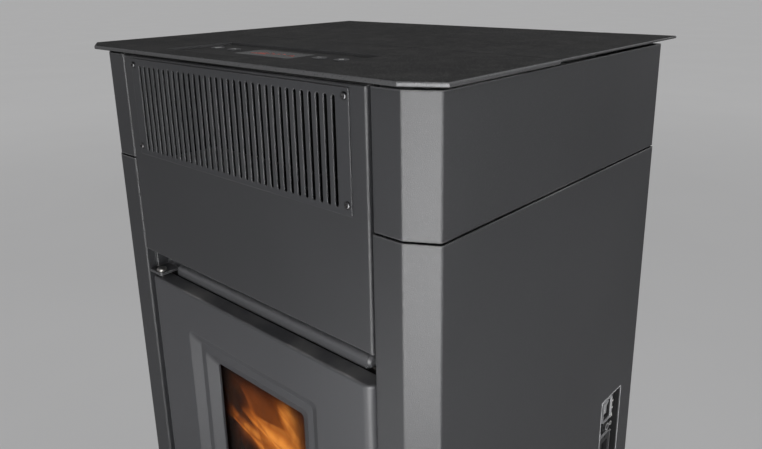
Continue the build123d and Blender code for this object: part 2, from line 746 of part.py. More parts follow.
def make_grille():
    plate = slab(-GRILLE_HALF, GRILLE_HALF, -GRILLE_T, 0, GRILLE_Z0, GRILLE_Z1)
    plate = fillet(edges_at(plate, "y", -GRILLE_T / 2), 2.0)
    plate = fillet(edges_at(plate, "y", -GRILLE_T), 0.4)
    slot = Plane.XZ * SlotOverall(SLOT_Z1 - SLOT_Z0, SLOT_W, rotation=90)
    cutter = extrude(slot, GRILLE_T + 1, both=True)
    middle = (SLOT_Z0 + SLOT_Z1) / 2
    cutters = []
    for i in range(SLOT_COUNT):
        x = (i - (SLOT_COUNT - 1) / 2) * SLOT_PITCH
        cutters.append(Pos(x, -GRILLE_T / 2, middle) * cutter)
    plate = plate.cut(*[c.solid() for c in cutters])
    keep("air_grille", Part() + plate - grille_screw_holes())
    screws = []
    for x, z in grille_screw_places():
        screws.append(Pos(x, -GRILLE_T, z) * Rot(90, 0, 0) * dome_screw())
    keep("grille_screws", *screws)


def make_air_duct():
    """The box behind the grille: a back wall, sides, a top and a lip at the bottom."""
    front = FLANGE_FRONT + SEAT_GAP
    back = DUCT_BACK + SHEET
    duct = slab(-CHASSIS_IN, CHASSIS_IN, DUCT_BACK, back, DUCT_Z0, DUCT_TOP)
    duct += slab(-CHASSIS_IN, CHASSIS_IN, front, back, DUCT_TOP - SHEET, DUCT_TOP)
    duct += slab(-CHASSIS_IN, CHASSIS_IN, front, DUCT_LIP, DUCT_Z0, DUCT_Z0 + SHEET)
    for side in (-1, 1):
        x = side * (CHASSIS_IN - SHEET / 2)
        duct += slab(x - SHEET / 2, x + SHEET / 2, front, back, DUCT_Z0, DUCT_TOP)
    keep("air_duct", duct)


# ---------------------------------------------------------------- top

def make_top_plate():
    outline = [
        (-PLATE_HALF, PLATE_REAR),
        (-PLATE_HALF, PLATE_BEVEL_Y - PLATE_FRONT),
        (-PLATE_HALF + PLATE_BEVEL_X, -PLATE_FRONT),
        (PLATE_HALF - PLATE_BEVEL_X, -PLATE_FRONT),
        (PLATE_HALF, PLATE_BEVEL_Y - PLATE_FRONT),
        (PLATE_HALF, PLATE_REAR),
    ]
    plate = Pos(0, 0, PLATE_Z0) * extrude(Polygon(*outline, align=None), PLATE_T)
    rim = [e for e in edges_at(plate, "z", TOP_Z) if e.center().Y < PLATE_REAR - 1]
    plate = fillet(rim, 2.0)
    rim = [e for e in edges_at(plate, "z", PLATE_Z0) if e.center().Y < PLATE_REAR - 1]
    plate = fillet(rim, 1.5)
    fit = PANEL_FIT
    hole = slab(
        -PANEL_HALF - fit, PANEL_HALF + fit, PANEL_Y0 - fit, PANEL_Y1 + fit, PLATE_Z0 - 1, TOP_Z + 1
    )
    keep("top_plate", plate - hole)
    frame = slab(-CHASSIS_OUT, CHASSIS_OUT, FRAME_Y0, PLATE_REAR, SIDE_TOP, PLATE_Z0)
    frame -= slab(
        -CHASSIS_OUT + FRAME_BAR, CHASSIS_OUT - FRAME_BAR,
        FRAME_Y0 + FRAME_CROSS, PLATE_REAR - FRAME_CROSS, SIDE_TOP - 1, PLATE_Z0 + 1,
    )
    keep("top_frame", frame)


def make_lid():
    lid = slab(-PLATE_HALF, PLATE_HALF, LID_FRONT, LID_REAR, LID_Z0, TOP_Z)
    lid = fillet(edges_at(lid, "z", TOP_Z) + edges_at(lid, "z", LID_Z0), 1.0)
    for side in (-1, 1):
        x = side * HINGE_X
        lid -= slab(
            x - 2 * KNUCKLE_W, x + 2 * KNUCKLE_W, LID_REAR - LID_NOTCH, LID_REAR + REACH,
            LID_Z0 - REACH, TOP_Z + REACH,
        )
    keep("hopper_lid", lid)
    outer_x = CHASSIS_IN - 4
    y0 = HOPPER_Y0 - 4
    y1 = HOPPER_Y1 + 1
    low = SIDE_TOP + SHEET + SEAT_GAP
    seal = slab(-outer_x, outer_x, y0, y1, low, LID_Z0)
    seal = fillet(edges_at(seal, "z", (low + LID_Z0) / 2), 6)
    seal -= slab(-outer_x + SEAL_W, outer_x - SEAL_W, y0 + SEAL_W, y1 - SEAL_W, low - 1, TOP_Z)
    keep("lid_seal", seal)


def knuckle(x0, x1, bore):
    """One barrel of a lid hinge, from x0 to x1 round the hinge axis."""
    barrel = rod_x(x0, x1, HINGE_Y, HINGE_Z, KNUCKLE_R)
    return barrel - rod_x(x0 - 1, x1 + 1, HINGE_Y, HINGE_Z, bore)


def make_lid_hinges():
    moving = []
    fixed = []
    half = KNUCKLE_W / 2
    front = LID_REAR - LID_NOTCH
    arm_top = HINGE_Z - ARM_DROP
    arm_low = arm_top - ARM_T
    plate_top = arm_low + 1
    plate_rear = REAR_OUT + HINGE_PLATE_T
    lip = HINGE_Y + ARM_LIP
    notch_r = KNUCKLE_R - 1
    for side in (-1, 1):
        x = side * HINGE_X
        leaf = slab(x - half, x + half, front, HINGE_Y, LID_Z0, TOP_Z - 0.5)
        leaf -= rod_x(x - half - REACH, x + half + REACH, HINGE_Y, HINGE_Z, notch_r)
        end = half + SIDE_GAP + KNUCKLE_W
        pin = rod_x(x - end, x + end, HINGE_Y, HINGE_Z, PIN_R)
        moving.append(leaf + knuckle(x - half, x + half, PIN_R) + pin)
        bracket = slab(
            x - HINGE_PLATE_HALF, x + HINGE_PLATE_HALF, REAR_OUT, plate_rear,
            plate_top - HINGE_PLATE_H, plate_top,
        )
        for out in (-1, 1):
            a = x + out * (half + SIDE_GAP)
            b = x + out * (half + SIDE_GAP + KNUCKLE_W)
            lo, hi = min(a, b), max(a, b)
            arm = slab(lo, hi, REAR_OUT, plate_rear, arm_top - ARM_ROOT, arm_top)
            arm += slab(lo, hi, REAR_OUT, lip, arm_low, arm_top)
            arm += slab(lo, hi, lip - notch_r, lip, arm_low, HINGE_Z - notch_r + 0.3)
            bracket += arm
            bracket -= rod_x(lo - 0.01, hi + 0.01, HINGE_Y, HINGE_Z, notch_r)
            bracket += knuckle(lo, hi, PIN_R + RUN_GAP)
        fixed.append(bracket)
    keep("lid_hinge_leaves", *moving)
    keep("lid_hinge_brackets", *fixed)


def window_block(inset, z0, z1):
    """A block as large as the display window, less an inset all round."""
    half = WINDOW_HALF - inset
    return slab(-half, half, WINDOW_Y0 + inset, WINDOW_Y1 - inset, z0, z1)


def make_control_panel():
    face = TOP_Z - PANEL_DROP
    body = slab(-PANEL_HALF, PANEL_HALF, PANEL_Y0, PANEL_Y1, DUCT_TOP, face)
    body = fillet(edges_at(body, "z", face), PANEL_EDGE_R)
    wall = PANEL_WALL
    body -= slab(
        -PANEL_HALF + wall, PANEL_HALF - wall, PANEL_Y0 + wall, PANEL_Y1 - wall,
        DUCT_TOP - REACH, face - PANEL_SKIN,
    )
    body -= window_block(0, face - WINDOW_T, face + REACH)
    body -= window_block(WINDOW_LEDGE, DUCT_TOP, face + REACH)
    board_z = face - PANEL_SKIN - BOARD_DROP
    board_top = board_z + BOARD_T
    cap_top = face + BUTTON_PROUD
    flange_z = face - PANEL_SKIN - WINDOW_FIT
    flange_low = flange_z - CAP_FLANGE_T
    for i, x in enumerate(BUTTON_X):
        body -= rod_z(x, BUTTON_Y, DUCT_TOP, face + REACH, BUTTON_R + BUTTON_FIT)
        cap = rod_z(x, BUTTON_Y, flange_low, cap_top, BUTTON_R)
        cap = fillet(edges_at(cap, "z", cap_top), PANEL_EDGE_R)
        cap += rod_z(x, BUTTON_Y, flange_low, flange_z, BUTTON_R + CAP_FLANGE)
        stem_low = board_top + BUTTON_TRAVEL + WINDOW_FIT
        cap += rod_z(x, BUTTON_Y, stem_low, flange_low, STEM_R)
        keep(f"button_{i + 1}", cap)
    for x in (-PANEL_HALF + POST_IN_X, PANEL_HALF - POST_IN_X):
        for y in (PANEL_Y0 + POST_IN_Y, PANEL_Y1 - POST_IN_Y):
            body += rod_z(x, y, board_top, face - PANEL_SKIN, POST_R)
    keep("display_window", window_block(WINDOW_FIT, face - WINDOW_T, face))
    board = slab(
        -PANEL_HALF + BOARD_IN, PANEL_HALF - BOARD_IN, PANEL_Y0 + BOARD_IN, PANEL_Y1 - BOARD_IN,
        board_z, board_top,
    )
    board += window_block(WINDOW_LEDGE + 2, board_top, face - WINDOW_T - 1)
    keep("control_panel", body, board)


# ---------------------------------------------------------------- door

def recess_part(half0, low0, high0, y0, half1, low1, high1, y1):
    """The cutter for one slope of the recess, from a larger opening to a smaller one."""
    big = front_face(half0, low0, high0, y0, RECESS_R + 1)
    small = front_face(half1, low1, high1, y1, RECESS_R - 1)
    return loft([big.face(), small.face()], ruled=True)


def make_door():
    body = slab(-DOOR_HALF, DOOR_HALF, 0, DOOR_T, DOOR_BOTTOM, DOOR_TOP)
    body = fillet(edges_at(body, "y", 0, "Z"), DOOR_FRONT_R)
    body = fillet(edges_at(body, "y", DOOR_T, "Z"), DOOR_REAR_R)
    rim = [e for e in edges_at(body, "z", DOOR_TOP) if e.center().Y < DOOR_FRONT_R]
    rim = [e for e in rim if abs(e.center().X) < DOOR_HALF - 0.01]
    body = fillet(rim, DOOR_TOP_R)
    rim = [e for e in edges_at(body, "z", DOOR_BOTTOM) if e.center().Y < DOOR_FRONT_R]
    rim = [e for e in rim if abs(e.center().X) < DOOR_HALF - 0.01]
    body = fillet(rim, DOOR_TOP_R)
    # The recess: outer slope, flat step, inner slope, then the glass opening.
    m1 = BEVEL_IN
    m2 = m1 + BEVEL_LEDGE
    m3 = m2 + BEVEL_OUT
    lead = 1.0
    grow = BEVEL_OUT * lead / RECESS_STEP
    body -= recess_part(
        GLASS_HALF + m3 + grow, GLASS_Z0 - m3 - grow, GLASS_Z1 + m3 + grow, -lead,
        GLASS_HALF + m2, GLASS_Z0 - m2, GLASS_Z1 + m2, RECESS_STEP,
    )
    body -= recess_part(
        GLASS_HALF + m1, GLASS_Z0 - m1, GLASS_Z1 + m1, RECESS_STEP,
        GLASS_HALF, GLASS_Z0, GLASS_Z1, RECESS_DEEP,
    )
    hole = front_face(GLASS_HALF, GLASS_Z0, GLASS_Z1, RECESS_DEEP, RECESS_R - 1)
    body -= extrude(hole, DOOR_T, dir=(0, 1, 0))
    lap = GLASS_LAP + POCKET_FIT
    body -= slab(
        -GLASS_HALF - lap, GLASS_HALF + lap, POCKET_Y, DOOR_T + 1, GLASS_Z0 - lap, GLASS_Z1 + lap
    )
    body -= rod_y(LATCH_X, -1, DOOR_T + 1, LATCH_Z, SPINDLE_R + RUN_GAP)
    body -= rod_z(DOOR_AXIS_X, DOOR_AXIS_Y, DOOR_TOP - DOOR_PIN_IN, DOOR_TOP + 1, DOOR_PIN_R)
    body -= rod_z(DOOR_AXIS_X, DOOR_AXIS_Y, DOOR_BOTTOM - 1, DOOR_BOTTOM + DOOR_PIN_IN, DOOR_PIN_R)
    for x, z in clip_places():
        body -= rod_y(x, DOOR_T - CLIP_SCREW_IN - REACH, DOOR_T + REACH, z, CLIP_SCREW_R)
    keep("door_frame", body)


def clip_places():
    """Screw places of the clips that hold the glass, two on each side and one above and below."""
    out = GLASS_LAP + POCKET_FIT + 8
    x = GLASS_HALF + out
    quarter = (GLASS_Z1 - GLASS_Z0) / 4
    places = [(side * x, GLASS_Z0 + k * quarter) for side in (-1, 1) for k in (1, 3)]
    places += [(0, GLASS_Z0 - out), (0, GLASS_Z1 + out)]
    return places


def make_door_fittings():
    pane = slab(
        -GLASS_HALF - GLASS_LAP, GLASS_HALF + GLASS_LAP, DOOR_T - GLASS_T, DOOR_T,
        GLASS_Z0 - GLASS_LAP, GLASS_Z1 + GLASS_LAP,
    )
    keep("door_glass", fillet(edges_at(pane, "y", DOOR_T - GLASS_T / 2), 3.0))
    lap = GLASS_LAP
    gasket = slab(
        -GLASS_HALF - lap, GLASS_HALF + lap, POCKET_Y, DOOR_T - GLASS_T,
        GLASS_Z0 - lap, GLASS_Z1 + lap,
    )
    lap = GLASS_LAP - GASKET_W
    gasket -= slab(
        -GLASS_HALF - lap, GLASS_HALF + lap, POCKET_Y - 1, DOOR_T, GLASS_Z0 - lap, GLASS_Z1 + lap
    )
    clips = []
    screws = []
    reach = POCKET_FIT + CLIP_HALF + CLIP_LAP
    for x, z in clip_places():
        if x == 0:
            side = 1 if z > GLASS_Z1 else -1
            ends = sorted((z + side * CLIP_HALF, z - side * reach))
            clip = slab(-CLIP_W / 2, CLIP_W / 2, DOOR_T, DOOR_T + CLIP_T, ends[0], ends[1])
        else:
            side = 1 if x > 0 else -1
            ends = sorted((x + side * CLIP_HALF, x - side * reach))
            clip = slab(
                ends[0], ends[1], DOOR_T, DOOR_T + CLIP_T, z - CLIP_H / 2, z + CLIP_H / 2
            )
        rear = DOOR_T + CLIP_T + REACH
        clips.append(clip - rod_y(x, DOOR_T - REACH, rear, z, CLIP_SCREW_R))
        screw = dome_screw(
            head_r=2 * CLIP_SCREW_R, head_h=2.2, r=CLIP_SCREW_R, length=CLIP_T + CLIP_SCREW_IN
        )
        screws.append(Pos(x, DOOR_T + CLIP_T, z) * Rot(-90, 0, 0) * screw)
    keep("glass_clips", *clips, *screws)
    z0 = DOOR_BOTTOM + ROPE_DROP
    z1 = DOOR_TOP - ROPE_DROP
    rope_rear = BOX_Y0 - SEAT_GAP
    rope = slab(-ROPE_OUT, ROPE_OUT, DOOR_T, rope_rear, z0, z1)
    w = ROPE_W
    rope -= slab(-ROPE_OUT + w, ROPE_OUT - w, DOOR_T - 1, rope_rear + 1, z0 + w, z1 - w)
    rope = fillet(edges_at(rope, "y", rope_rear), 3.0)
    keep("door_seals", rope, gasket)


def make_door_hinges():
    """Upper and lower ears on the chassis, and the pins that are fixed in the door."""
    x, y = DOOR_AXIS_X, DOOR_AXIS_Y
    ear_z = DOOR_TOP + EAR_GAP
    leaf_y0 = FLANGE_FRONT + 2
    leaf_y1 = BOX_Y0 - 1
    x0 = -CHASSIS_IN
    x1 = x + EAR_HALF
    leaf_in = x0 + LEAF_T
    clear = -OPENING_HALF + 1
    # The upper ear is notched round the casing's front flange.
    ear = slab(clear, x1, y - EAR_HALF + 2, leaf_y1, ear_z, ear_z + EAR_T)
    ear += slab(x0, leaf_in, leaf_y0, leaf_y1, ear_z, ear_z + LEAF_H)
    ear = fillet(edges_at(ear, "x", x1, "Z"), EAR_EDGE_R)
    brackets = [ear - rod_z(x, y, ear_z - REACH, ear_z + EAR_T + REACH, DOOR_PIN_R + RUN_GAP)]
    low_z = DOOR_BOTTOM - EAR_GAP_LOW - EAR_T
    ear = slab(clear, x1, y - EAR_HALF + 2, leaf_y1, low_z, low_z + EAR_T)
    ear += slab(x0, leaf_in, leaf_y0, leaf_y1, low_z, low_z + LEAF_H)
    ear = fillet(edges_at(ear, "x", x1, "Z"), EAR_EDGE_R)
    brackets.append(ear - rod_z(x, y, low_z - REACH, low_z + EAR_T + REACH, DOOR_PIN_R + RUN_GAP))
    keep("door_hinge_brackets", *brackets)
    upper = rod_z(x, y, DOOR_TOP - DOOR_PIN_IN, ear_z + EAR_T + 1, DOOR_PIN_R)
    head_top = ear_z + EAR_T + PIN_HEAD_T
    head = rod_z(x, y, ear_z + EAR_T + 0.1, head_top, DOOR_PIN_HEAD_R)
    head = fillet(edges_at(head, "z", head_top), 3)
    lower = rod_z(x, y, low_z - 1, DOOR_BOTTOM + DOOR_PIN_IN, DOOR_PIN_R)
    collar = rod_z(x, y, low_z + EAR_T + 0.05, DOOR_BOTTOM, DOOR_PIN_HEAD_R)
    keep("door_hinge_pins", upper + head, lower + collar)


def make_latch():
    """Lever and hub in front of the door, spindle through it, cam behind it, catch beside it."""
    x, z = LATCH_X, LATCH_Z
    hub = rod_y(x, -HUB_L, -SIDE_GAP, z, HUB_R)
    hub = fillet(edges_at(hub, "y", -HUB_L), 2)
    neck = rod_y(x, -LEVER_Y, 1 - HUB_L, z, SPINDLE_R + NECK_WALL)
    half_w = LEVER_W / 2
    grip = slab(
        x - half_w, x + half_w, -LEVER_Y - LEVER_T / 2, -LEVER_Y + LEVER_T / 2,
        z - LEVER_L, z + half_w,
    )
    grip = fillet(grip.edges().filter_by(Axis.Y), half_w - 1)
    grip = fillet(edges_at(grip, "y", -LEVER_Y - LEVER_T / 2), 4)
    grip = fillet(edges_at(grip, "y", -LEVER_Y + LEVER_T / 2), 3)
    lever = hub + neck + grip
    lever -= rod_y(x, -LEVER_BORE_Y, 0, z, SPINDLE_R)
    keep("door_handle", lever)
    spindle = rod_y(x, -LEVER_BORE_Y, CAM_Y0 + CAM_T + 0.5, z, SPINDLE_R)
    cam = slab(x - CAM_W / 2, x + CAM_W / 2, CAM_Y0, CAM_Y0 + CAM_T, z, z + CAM_L)
    cam += rod_y(x, CAM_Y0, CAM_Y0 + CAM_T, z, CAM_W / 2 + 3)
    keep("latch_spindle", spindle + cam)
    lip_y0 = CAM_Y0 - 0.4 - CATCH_T
    catch = slab(CATCH_IN, CHASSIS_IN, lip_y0, lip_y0 + CATCH_T, z - CATCH_H / 2, z + CATCH_H / 2)
    catch += slab(
        CHASSIS_IN - 2, CHASSIS_IN, lip_y0, BOX_Y0 - 0.5, z - CATCH_H / 2, z + CATCH_H / 2
    )
    keep("latch_catch", catch)


def make_rail():
    """The rail on the firebox, and the heat shield behind it that closes the gap over the door."""
    rail = slab(-RAIL_HALF, RAIL_HALF, RAIL_Y0, RAIL_Y0 + RAIL_D, BOX_Z1, BOX_Z1 + RAIL_H)
    top = edges_at(rail, "z", BOX_Z1 + RAIL_H, "X")
    rail = fillet(top, RAIL_R)
    low = [e for e in edges_at(rail, "y", RAIL_Y0, "X") if e.center().Z < BOX_Z1 + 1]
    rail = fillet(low, RAIL_LOW_R)
    half = CHASSIS_IN - SEAT_GAP
    front = RAIL_Y0 + RAIL_D
    shield = slab(-half, half, front, front + SHEET, BOX_Z1, SHIELD_TOP)
    shield += slab(-half, half, front, front + SHIELD_FOOT, BOX_Z1, BOX_Z1 + SHEET)
    keep("door_rail", rail, shield)


# ---------------------------------------------------------------- ash drawer, shelf and plinth

def make_drawer():
    face = shallow_pan(DRAWER_HALF, DRAWER_FACE_D, DRAWER_Z0, DRAWER_Z1)
    for side in (-1, 1):
        face -= rod_y(side * PULL_POST_X, -REACH, SHEET + REACH, PULL_Z, PULL_SCREW_R)
    keep("ash_drawer_front", face)
    y0 = DRAWER_FACE_D
    tray = slab(-DRAWER_HALF, DRAWER_HALF, y0, y0 + SHEET, DRAWER_Z0, DRAWER_Z1)
    tray += slab(-TRAY_HALF, TRAY_HALF, y0, TRAY_REAR, TRAY_Z0, TRAY_Z1)
    tray -= slab(
        -TRAY_HALF + SHEET, TRAY_HALF - SHEET, y0 + SHEET, TRAY_REAR - SHEET,
        TRAY_Z0 + SHEET, TRAY_Z1 + 1,
    )
    keep("ash_drawer_tray", tray)
    bar = rod_x(-PULL_HALF, PULL_HALF, -PULL_Y, PULL_Z, PULL_R)
    bar = fillet(bar.edges().filter_by(GeomType.CIRCLE), 2)
    for side in (-1, 1):
        x = side * PULL_POST_X
        bar += rod_y(x, -PULL_Y, 0, PULL_Z, PULL_POST_R)
        bar += rod_y(x, 0, SHEET + PULL_SCREW_L, PULL_Z, PULL_SCREW_R)
    keep("drawer_pull", bar)
    z1 = TRAY_Z0 - SEAT_GAP
    front = DRAWER_FACE_D + SHEET + 0.5
    shelf = slab(-CHASSIS_IN, CHASSIS_IN, front, SHELF_REAR, z1 - SHEET, z1)
    guide = TRAY_HALF + 1.0
    for side in (-1, 1):
        a, b = sorted((side * guide, side * (guide + SHEET)))
        shelf += slab(a, b, front, SHELF_REAR, z1, z1 + SHELF_LIP)
    keep("drawer_shelf", shelf)
    keep("plinth_panel", shallow_pan(PLINTH_HALF, FLANGE_FRONT, BASE_Z, PLINTH_Z1))


# ---------------------------------------------------------------- firebox and what it holds

def chute_solid(shrink, lead):
    """The sloping chute as a solid, smaller by its wall if shrink is given."""
    top_z = AUGER_Z - AUGER_TUBE_R + lead
    run_y = CHUTE_DY * lead / CHUTE_DZ
    x = CHUTE_HALF - shrink
    y0 = CHUTE_Y0 + shrink + run_y
    y1 = CHUTE_Y0 + CHUTE_LEN - shrink + run_y
    top = Pos(0, (y0 + y1) / 2, top_z) * Rectangle(2 * x, y1 - y0)
    share = (CHUTE_DZ + 2 * lead) / CHUTE_DZ
    length = math.hypot(CHUTE_DY, CHUTE_DZ) * share
    return extrude(top, length, dir=(0, -CHUTE_DY, -CHUTE_DZ))


def make_firebox():
    x, t = BOX_HALF, BOX_T
    floor_top = BOX_Z0 + t
    box = slab(-x, x, BOX_Y0, BOX_Y1, BOX_Z0, BOX_Z1)
    box -= slab(-x + t, x - t, BOX_Y0 + t, BOX_Y1 - t, floor_top, BOX_Z1 - t)
    box += slab(-CHASSIS_IN, CHASSIS_IN, BOX_Y0, BOX_Y0 + t, BOX_Z0, BOX_Z1)
    box -= slab(
        -MOUTH_HALF, MOUTH_HALF, BOX_Y0 - 1, BOX_Y0 + t + 1,
        BOX_Z0 + MOUTH_MARGIN, BOX_Z1 - MOUTH_MARGIN,
    )
    for side in (-1, 1):
        a, b = sorted((side * ASH_X0, side * ASH_X1))
        box -= slab(a, b, ASH_Y0, ASH_Y1, BOX_Z0 - 1, floor_top + 1)
        a, b = sorted((side * (x - t - LEDGE_W), side * (x - t)))
        lining_y = BOX_Y1 - t - LINING_T
        box += slab(a, b, BAFFLE_Y0, lining_y, BAFFLE_Z - LEDGE_H, BAFFLE_Z)
    for y in tube_places():
        box -= rod_x(-x - 1, x + 1, y, TUBE_Z, TUBE_R)
    box -= smoke_port(BOX_Y1 - t - 1, BOX_Y1 + 1)
    box -= rod_y(AIR_X, BOX_Y1 - t - 1, BOX_Y1 + 1, AIR_Z, AIR_R - PIPE_STEP)
    box -= rod_y(IGNITER_X, BOX_Y1 - t - 1, BOX_Y1 + 1, IGNITER_Z, IGNITER_R)
    box -= chute_solid(0, 0)
    keep("firebox", box)


def smoke_port(y0, y1):
    half = SMOKE_PORT_HALF
    return slab(FAN_X - half, FAN_X + half, y0, y1, SMOKE_PORT_Z0, SMOKE_PORT_Z1)


def tube_places():
    return [TUBE_Y0 + i * TUBE_PITCH for i in range(TUBE_COUNT)]


def make_firebox_insides():
    t = BOX_T
    floor_top = BOX_Z0 + t
    rear = BOX_Y1 - t
    front = rear - LINING_T
    lining = slab(-LINING_HALF, LINING_HALF, front, rear, floor_top, LINING_TOP)
    groove_count = int(2 * LINING_HALF / GROOVE_PITCH) - 1
    for i in range(groove_count):
        x = (i - (groove_count - 1) / 2) * GROOVE_PITCH
        lining -= slab(
            x - GROOVE_W / 2, x + GROOVE_W / 2, front - 1, front + GROOVE_DEEP,
            AIRBOX_TOP + 12, BAFFLE_Z - 20,
        )
    lining -= smoke_port(front - 1, rear + 1)
    lining -= rod_y(AIR_X, front - 1, rear + 1, AIR_Z, AIR_R - PIPE_STEP)
    lining -= rod_y(IGNITER_X, front - 1, rear + 1, IGNITER_Z, IGNITER_R + 2)
    baffle = slab(
        -(BOX_HALF - t - 1), BOX_HALF - t - 1, BAFFLE_Y0, front - SEAT_GAP,
        BAFFLE_Z, BAFFLE_Z + BAFFLE_T,
    )
    keep("firebox_lining", lining - chute_solid(0, 0), baffle)
    tubes = []
    for y in tube_places():
        tube = rod_x(-BOX_HALF, BOX_HALF, y, TUBE_Z, TUBE_R)
        tubes.append(tube - rod_x(-BOX_HALF - 1, BOX_HALF + 1, y, TUBE_Z, TUBE_R - TUBE_WALL))
    keep("heat_exchanger_tubes", *tubes)
    make_burn_pot(floor_top, front)


def make_burn_pot(floor_top, front):
    y0 = POT_Y - POT_HALF
    y1 = POT_Y + POT_HALF
    wall = POT_WALL
    low = AIRBOX_TOP + wall - POT_H
    rim = POT_HALF + POT_RIM
    pot = slab(-POT_HALF, POT_HALF, y0, y1, low, AIRBOX_TOP + wall)
    pot = fillet(edges_at(pot, "z", low), 6)
    pot += slab(-rim, rim, POT_Y - rim, POT_Y + rim, AIRBOX_TOP, AIRBOX_TOP + wall)
    inner = POT_HALF - wall
    pot -= slab(-inner, inner, y0 + wall, y1 - wall, low + wall, AIRBOX_TOP + 10)
    for i in range(5):
        for j in range(5):
            x = (i - 2) * POT_HOLE_PITCH
            y = POT_Y + (j - 2) * POT_HOLE_PITCH
            pot -= rod_z(x, y, low - 1, low + wall + 1, POT_HOLE_R)
    pot -= rod_y(IGNITER_X, y1 - wall - 1, y1 + 1, IGNITER_Z, IGNITER_R - 1)
    keep("burn_pot", pot)
    half = AIRBOX_HALF
    airbox = slab(-half, half, AIRBOX_Y0, front, floor_top, AIRBOX_TOP)
    airbox -= slab(
        -half + wall, half - wall, AIRBOX_Y0 + wall, front - wall, floor_top - 1, AIRBOX_TOP - wall
    )
    mouth = POT_HALF + POT_FIT
    airbox -= slab(-mouth, mouth, POT_Y - mouth, POT_Y + mouth, AIRBOX_TOP - 5, AIRBOX_TOP + 1)
    airbox -= rod_y(AIR_X, front - wall - 1, front + 1, AIR_Z, AIR_R - PIPE_STEP - AIR_WALL)
    airbox -= rod_y(IGNITER_X, front - wall - 1, front + 1, IGNITER_Z, IGNITER_R + SCREW_FIT)
    igniter = rod_y(IGNITER_X, y1 + 2, IGNITER_REAR, IGNITER_Z, IGNITER_R)
    keep("burn_pot_support", airbox, fillet(edges_at(igniter, "y", y1 + 2), 2))


# ---------------------------------------------------------------- hopper and auger

def funnel_wall(low, high):
    """A slanted sheet between two level rectangles, each given as x0, x1, y0 and y1."""
    ends = []
    for (x0, x1, y0, y1), z in ((low, SPOUT_Z), (high, HOPPER_BEND)):
        ends.append((Pos((x0 + x1) / 2, (y0 + y1) / 2, z) * Rectangle(x1 - x0, y1 - y0)).face())
    return loft(ends, ruled=True)


def make_hopper():
    """Straight walls on a funnel, with a flange round the top, welded from flat sheets."""
    x, y0, y1 = HOPPER_HALF, HOPPER_Y0, HOPPER_Y1
    top = SIDE_TOP + SHEET
    front, rear = PLATE_REAR + FLANGE_GAP, REAR_IN - FLANGE_GAP
    sheets = [
        slab(-x, x, y0, y0 + SHEET, HOPPER_BEND, top),
        slab(-x, x, y1 - SHEET, y1, HOPPER_BEND, top),
        slab(-x, -x + SHEET, y0 + SHEET, y1 - SHEET, HOPPER_BEND, top),
        slab(x - SHEET, x, y0 + SHEET, y1 - SHEET, HOPPER_BEND, top),
        slab(-CHASSIS_OUT, CHASSIS_OUT, front, y0, SIDE_TOP, top),
        slab(-CHASSIS_OUT, CHASSIS_OUT, y1, rear, SIDE_TOP, top),
        slab(-CHASSIS_OUT, -x, y0, y1, SIDE_TOP, top),
        slab(x, CHASSIS_OUT, y0, y1, SIDE_TOP, top),
    ]
    s = SPOUT_HALF
    s0 = SPOUT_Y - SPOUT_LEN / 2
    s1 = SPOUT_Y + SPOUT_LEN / 2
    sheets += [
        funnel_wall((-s, s, s0, s0 + SHEET), (-x, x, y0, y0 + SHEET)),
        funnel_wall((-s, s, s1 - SHEET, s1), (-x, x, y1 - SHEET, y1)),
        funnel_wall(
            (-s, -s + SHEET, s0 + SHEET, s1 - SHEET), (-x, -x + SHEET, y0 + SHEET, y1 - SHEET)
        ),
        funnel_wall(
            (s - SHEET, s, s0 + SHEET, s1 - SHEET), (x - SHEET, x, y0 + SHEET, y1 - SHEET)
        ),
    ]
    keep("hopper", *sheets)
    # The hand guard lies on the funnel, where the straight walls end.
    x = HOPPER_HALF - SHEET - GRID_FIT
    y0 = HOPPER_Y0 + SHEET + GRID_FIT
    y1 = HOPPER_Y1 - SHEET - GRID_FIT
    grid_top = GRID_Z + GRID_T
    grid = slab(-x, x, y0, y1, GRID_Z, grid_top)
    pitch_x = (2 * x - GRID_BAR) / GRID_COLS
    pitch_y = (y1 - y0 - GRID_BAR) / GRID_ROWS
    cuts = []
    for i in range(GRID_COLS):
        for j in range(GRID_ROWS):
            cx = -x + GRID_BAR + i * pitch_x
            cy = y0 + GRID_BAR + j * pitch_y
            hole = slab(
                cx, cx + pitch_x - GRID_BAR, cy, cy + pitch_y - GRID_BAR,
                GRID_Z - REACH, grid_top + REACH,
            )
            cuts.append(hole.solid())
    keep("hopper_grid", Part() + grid.cut(*cuts))


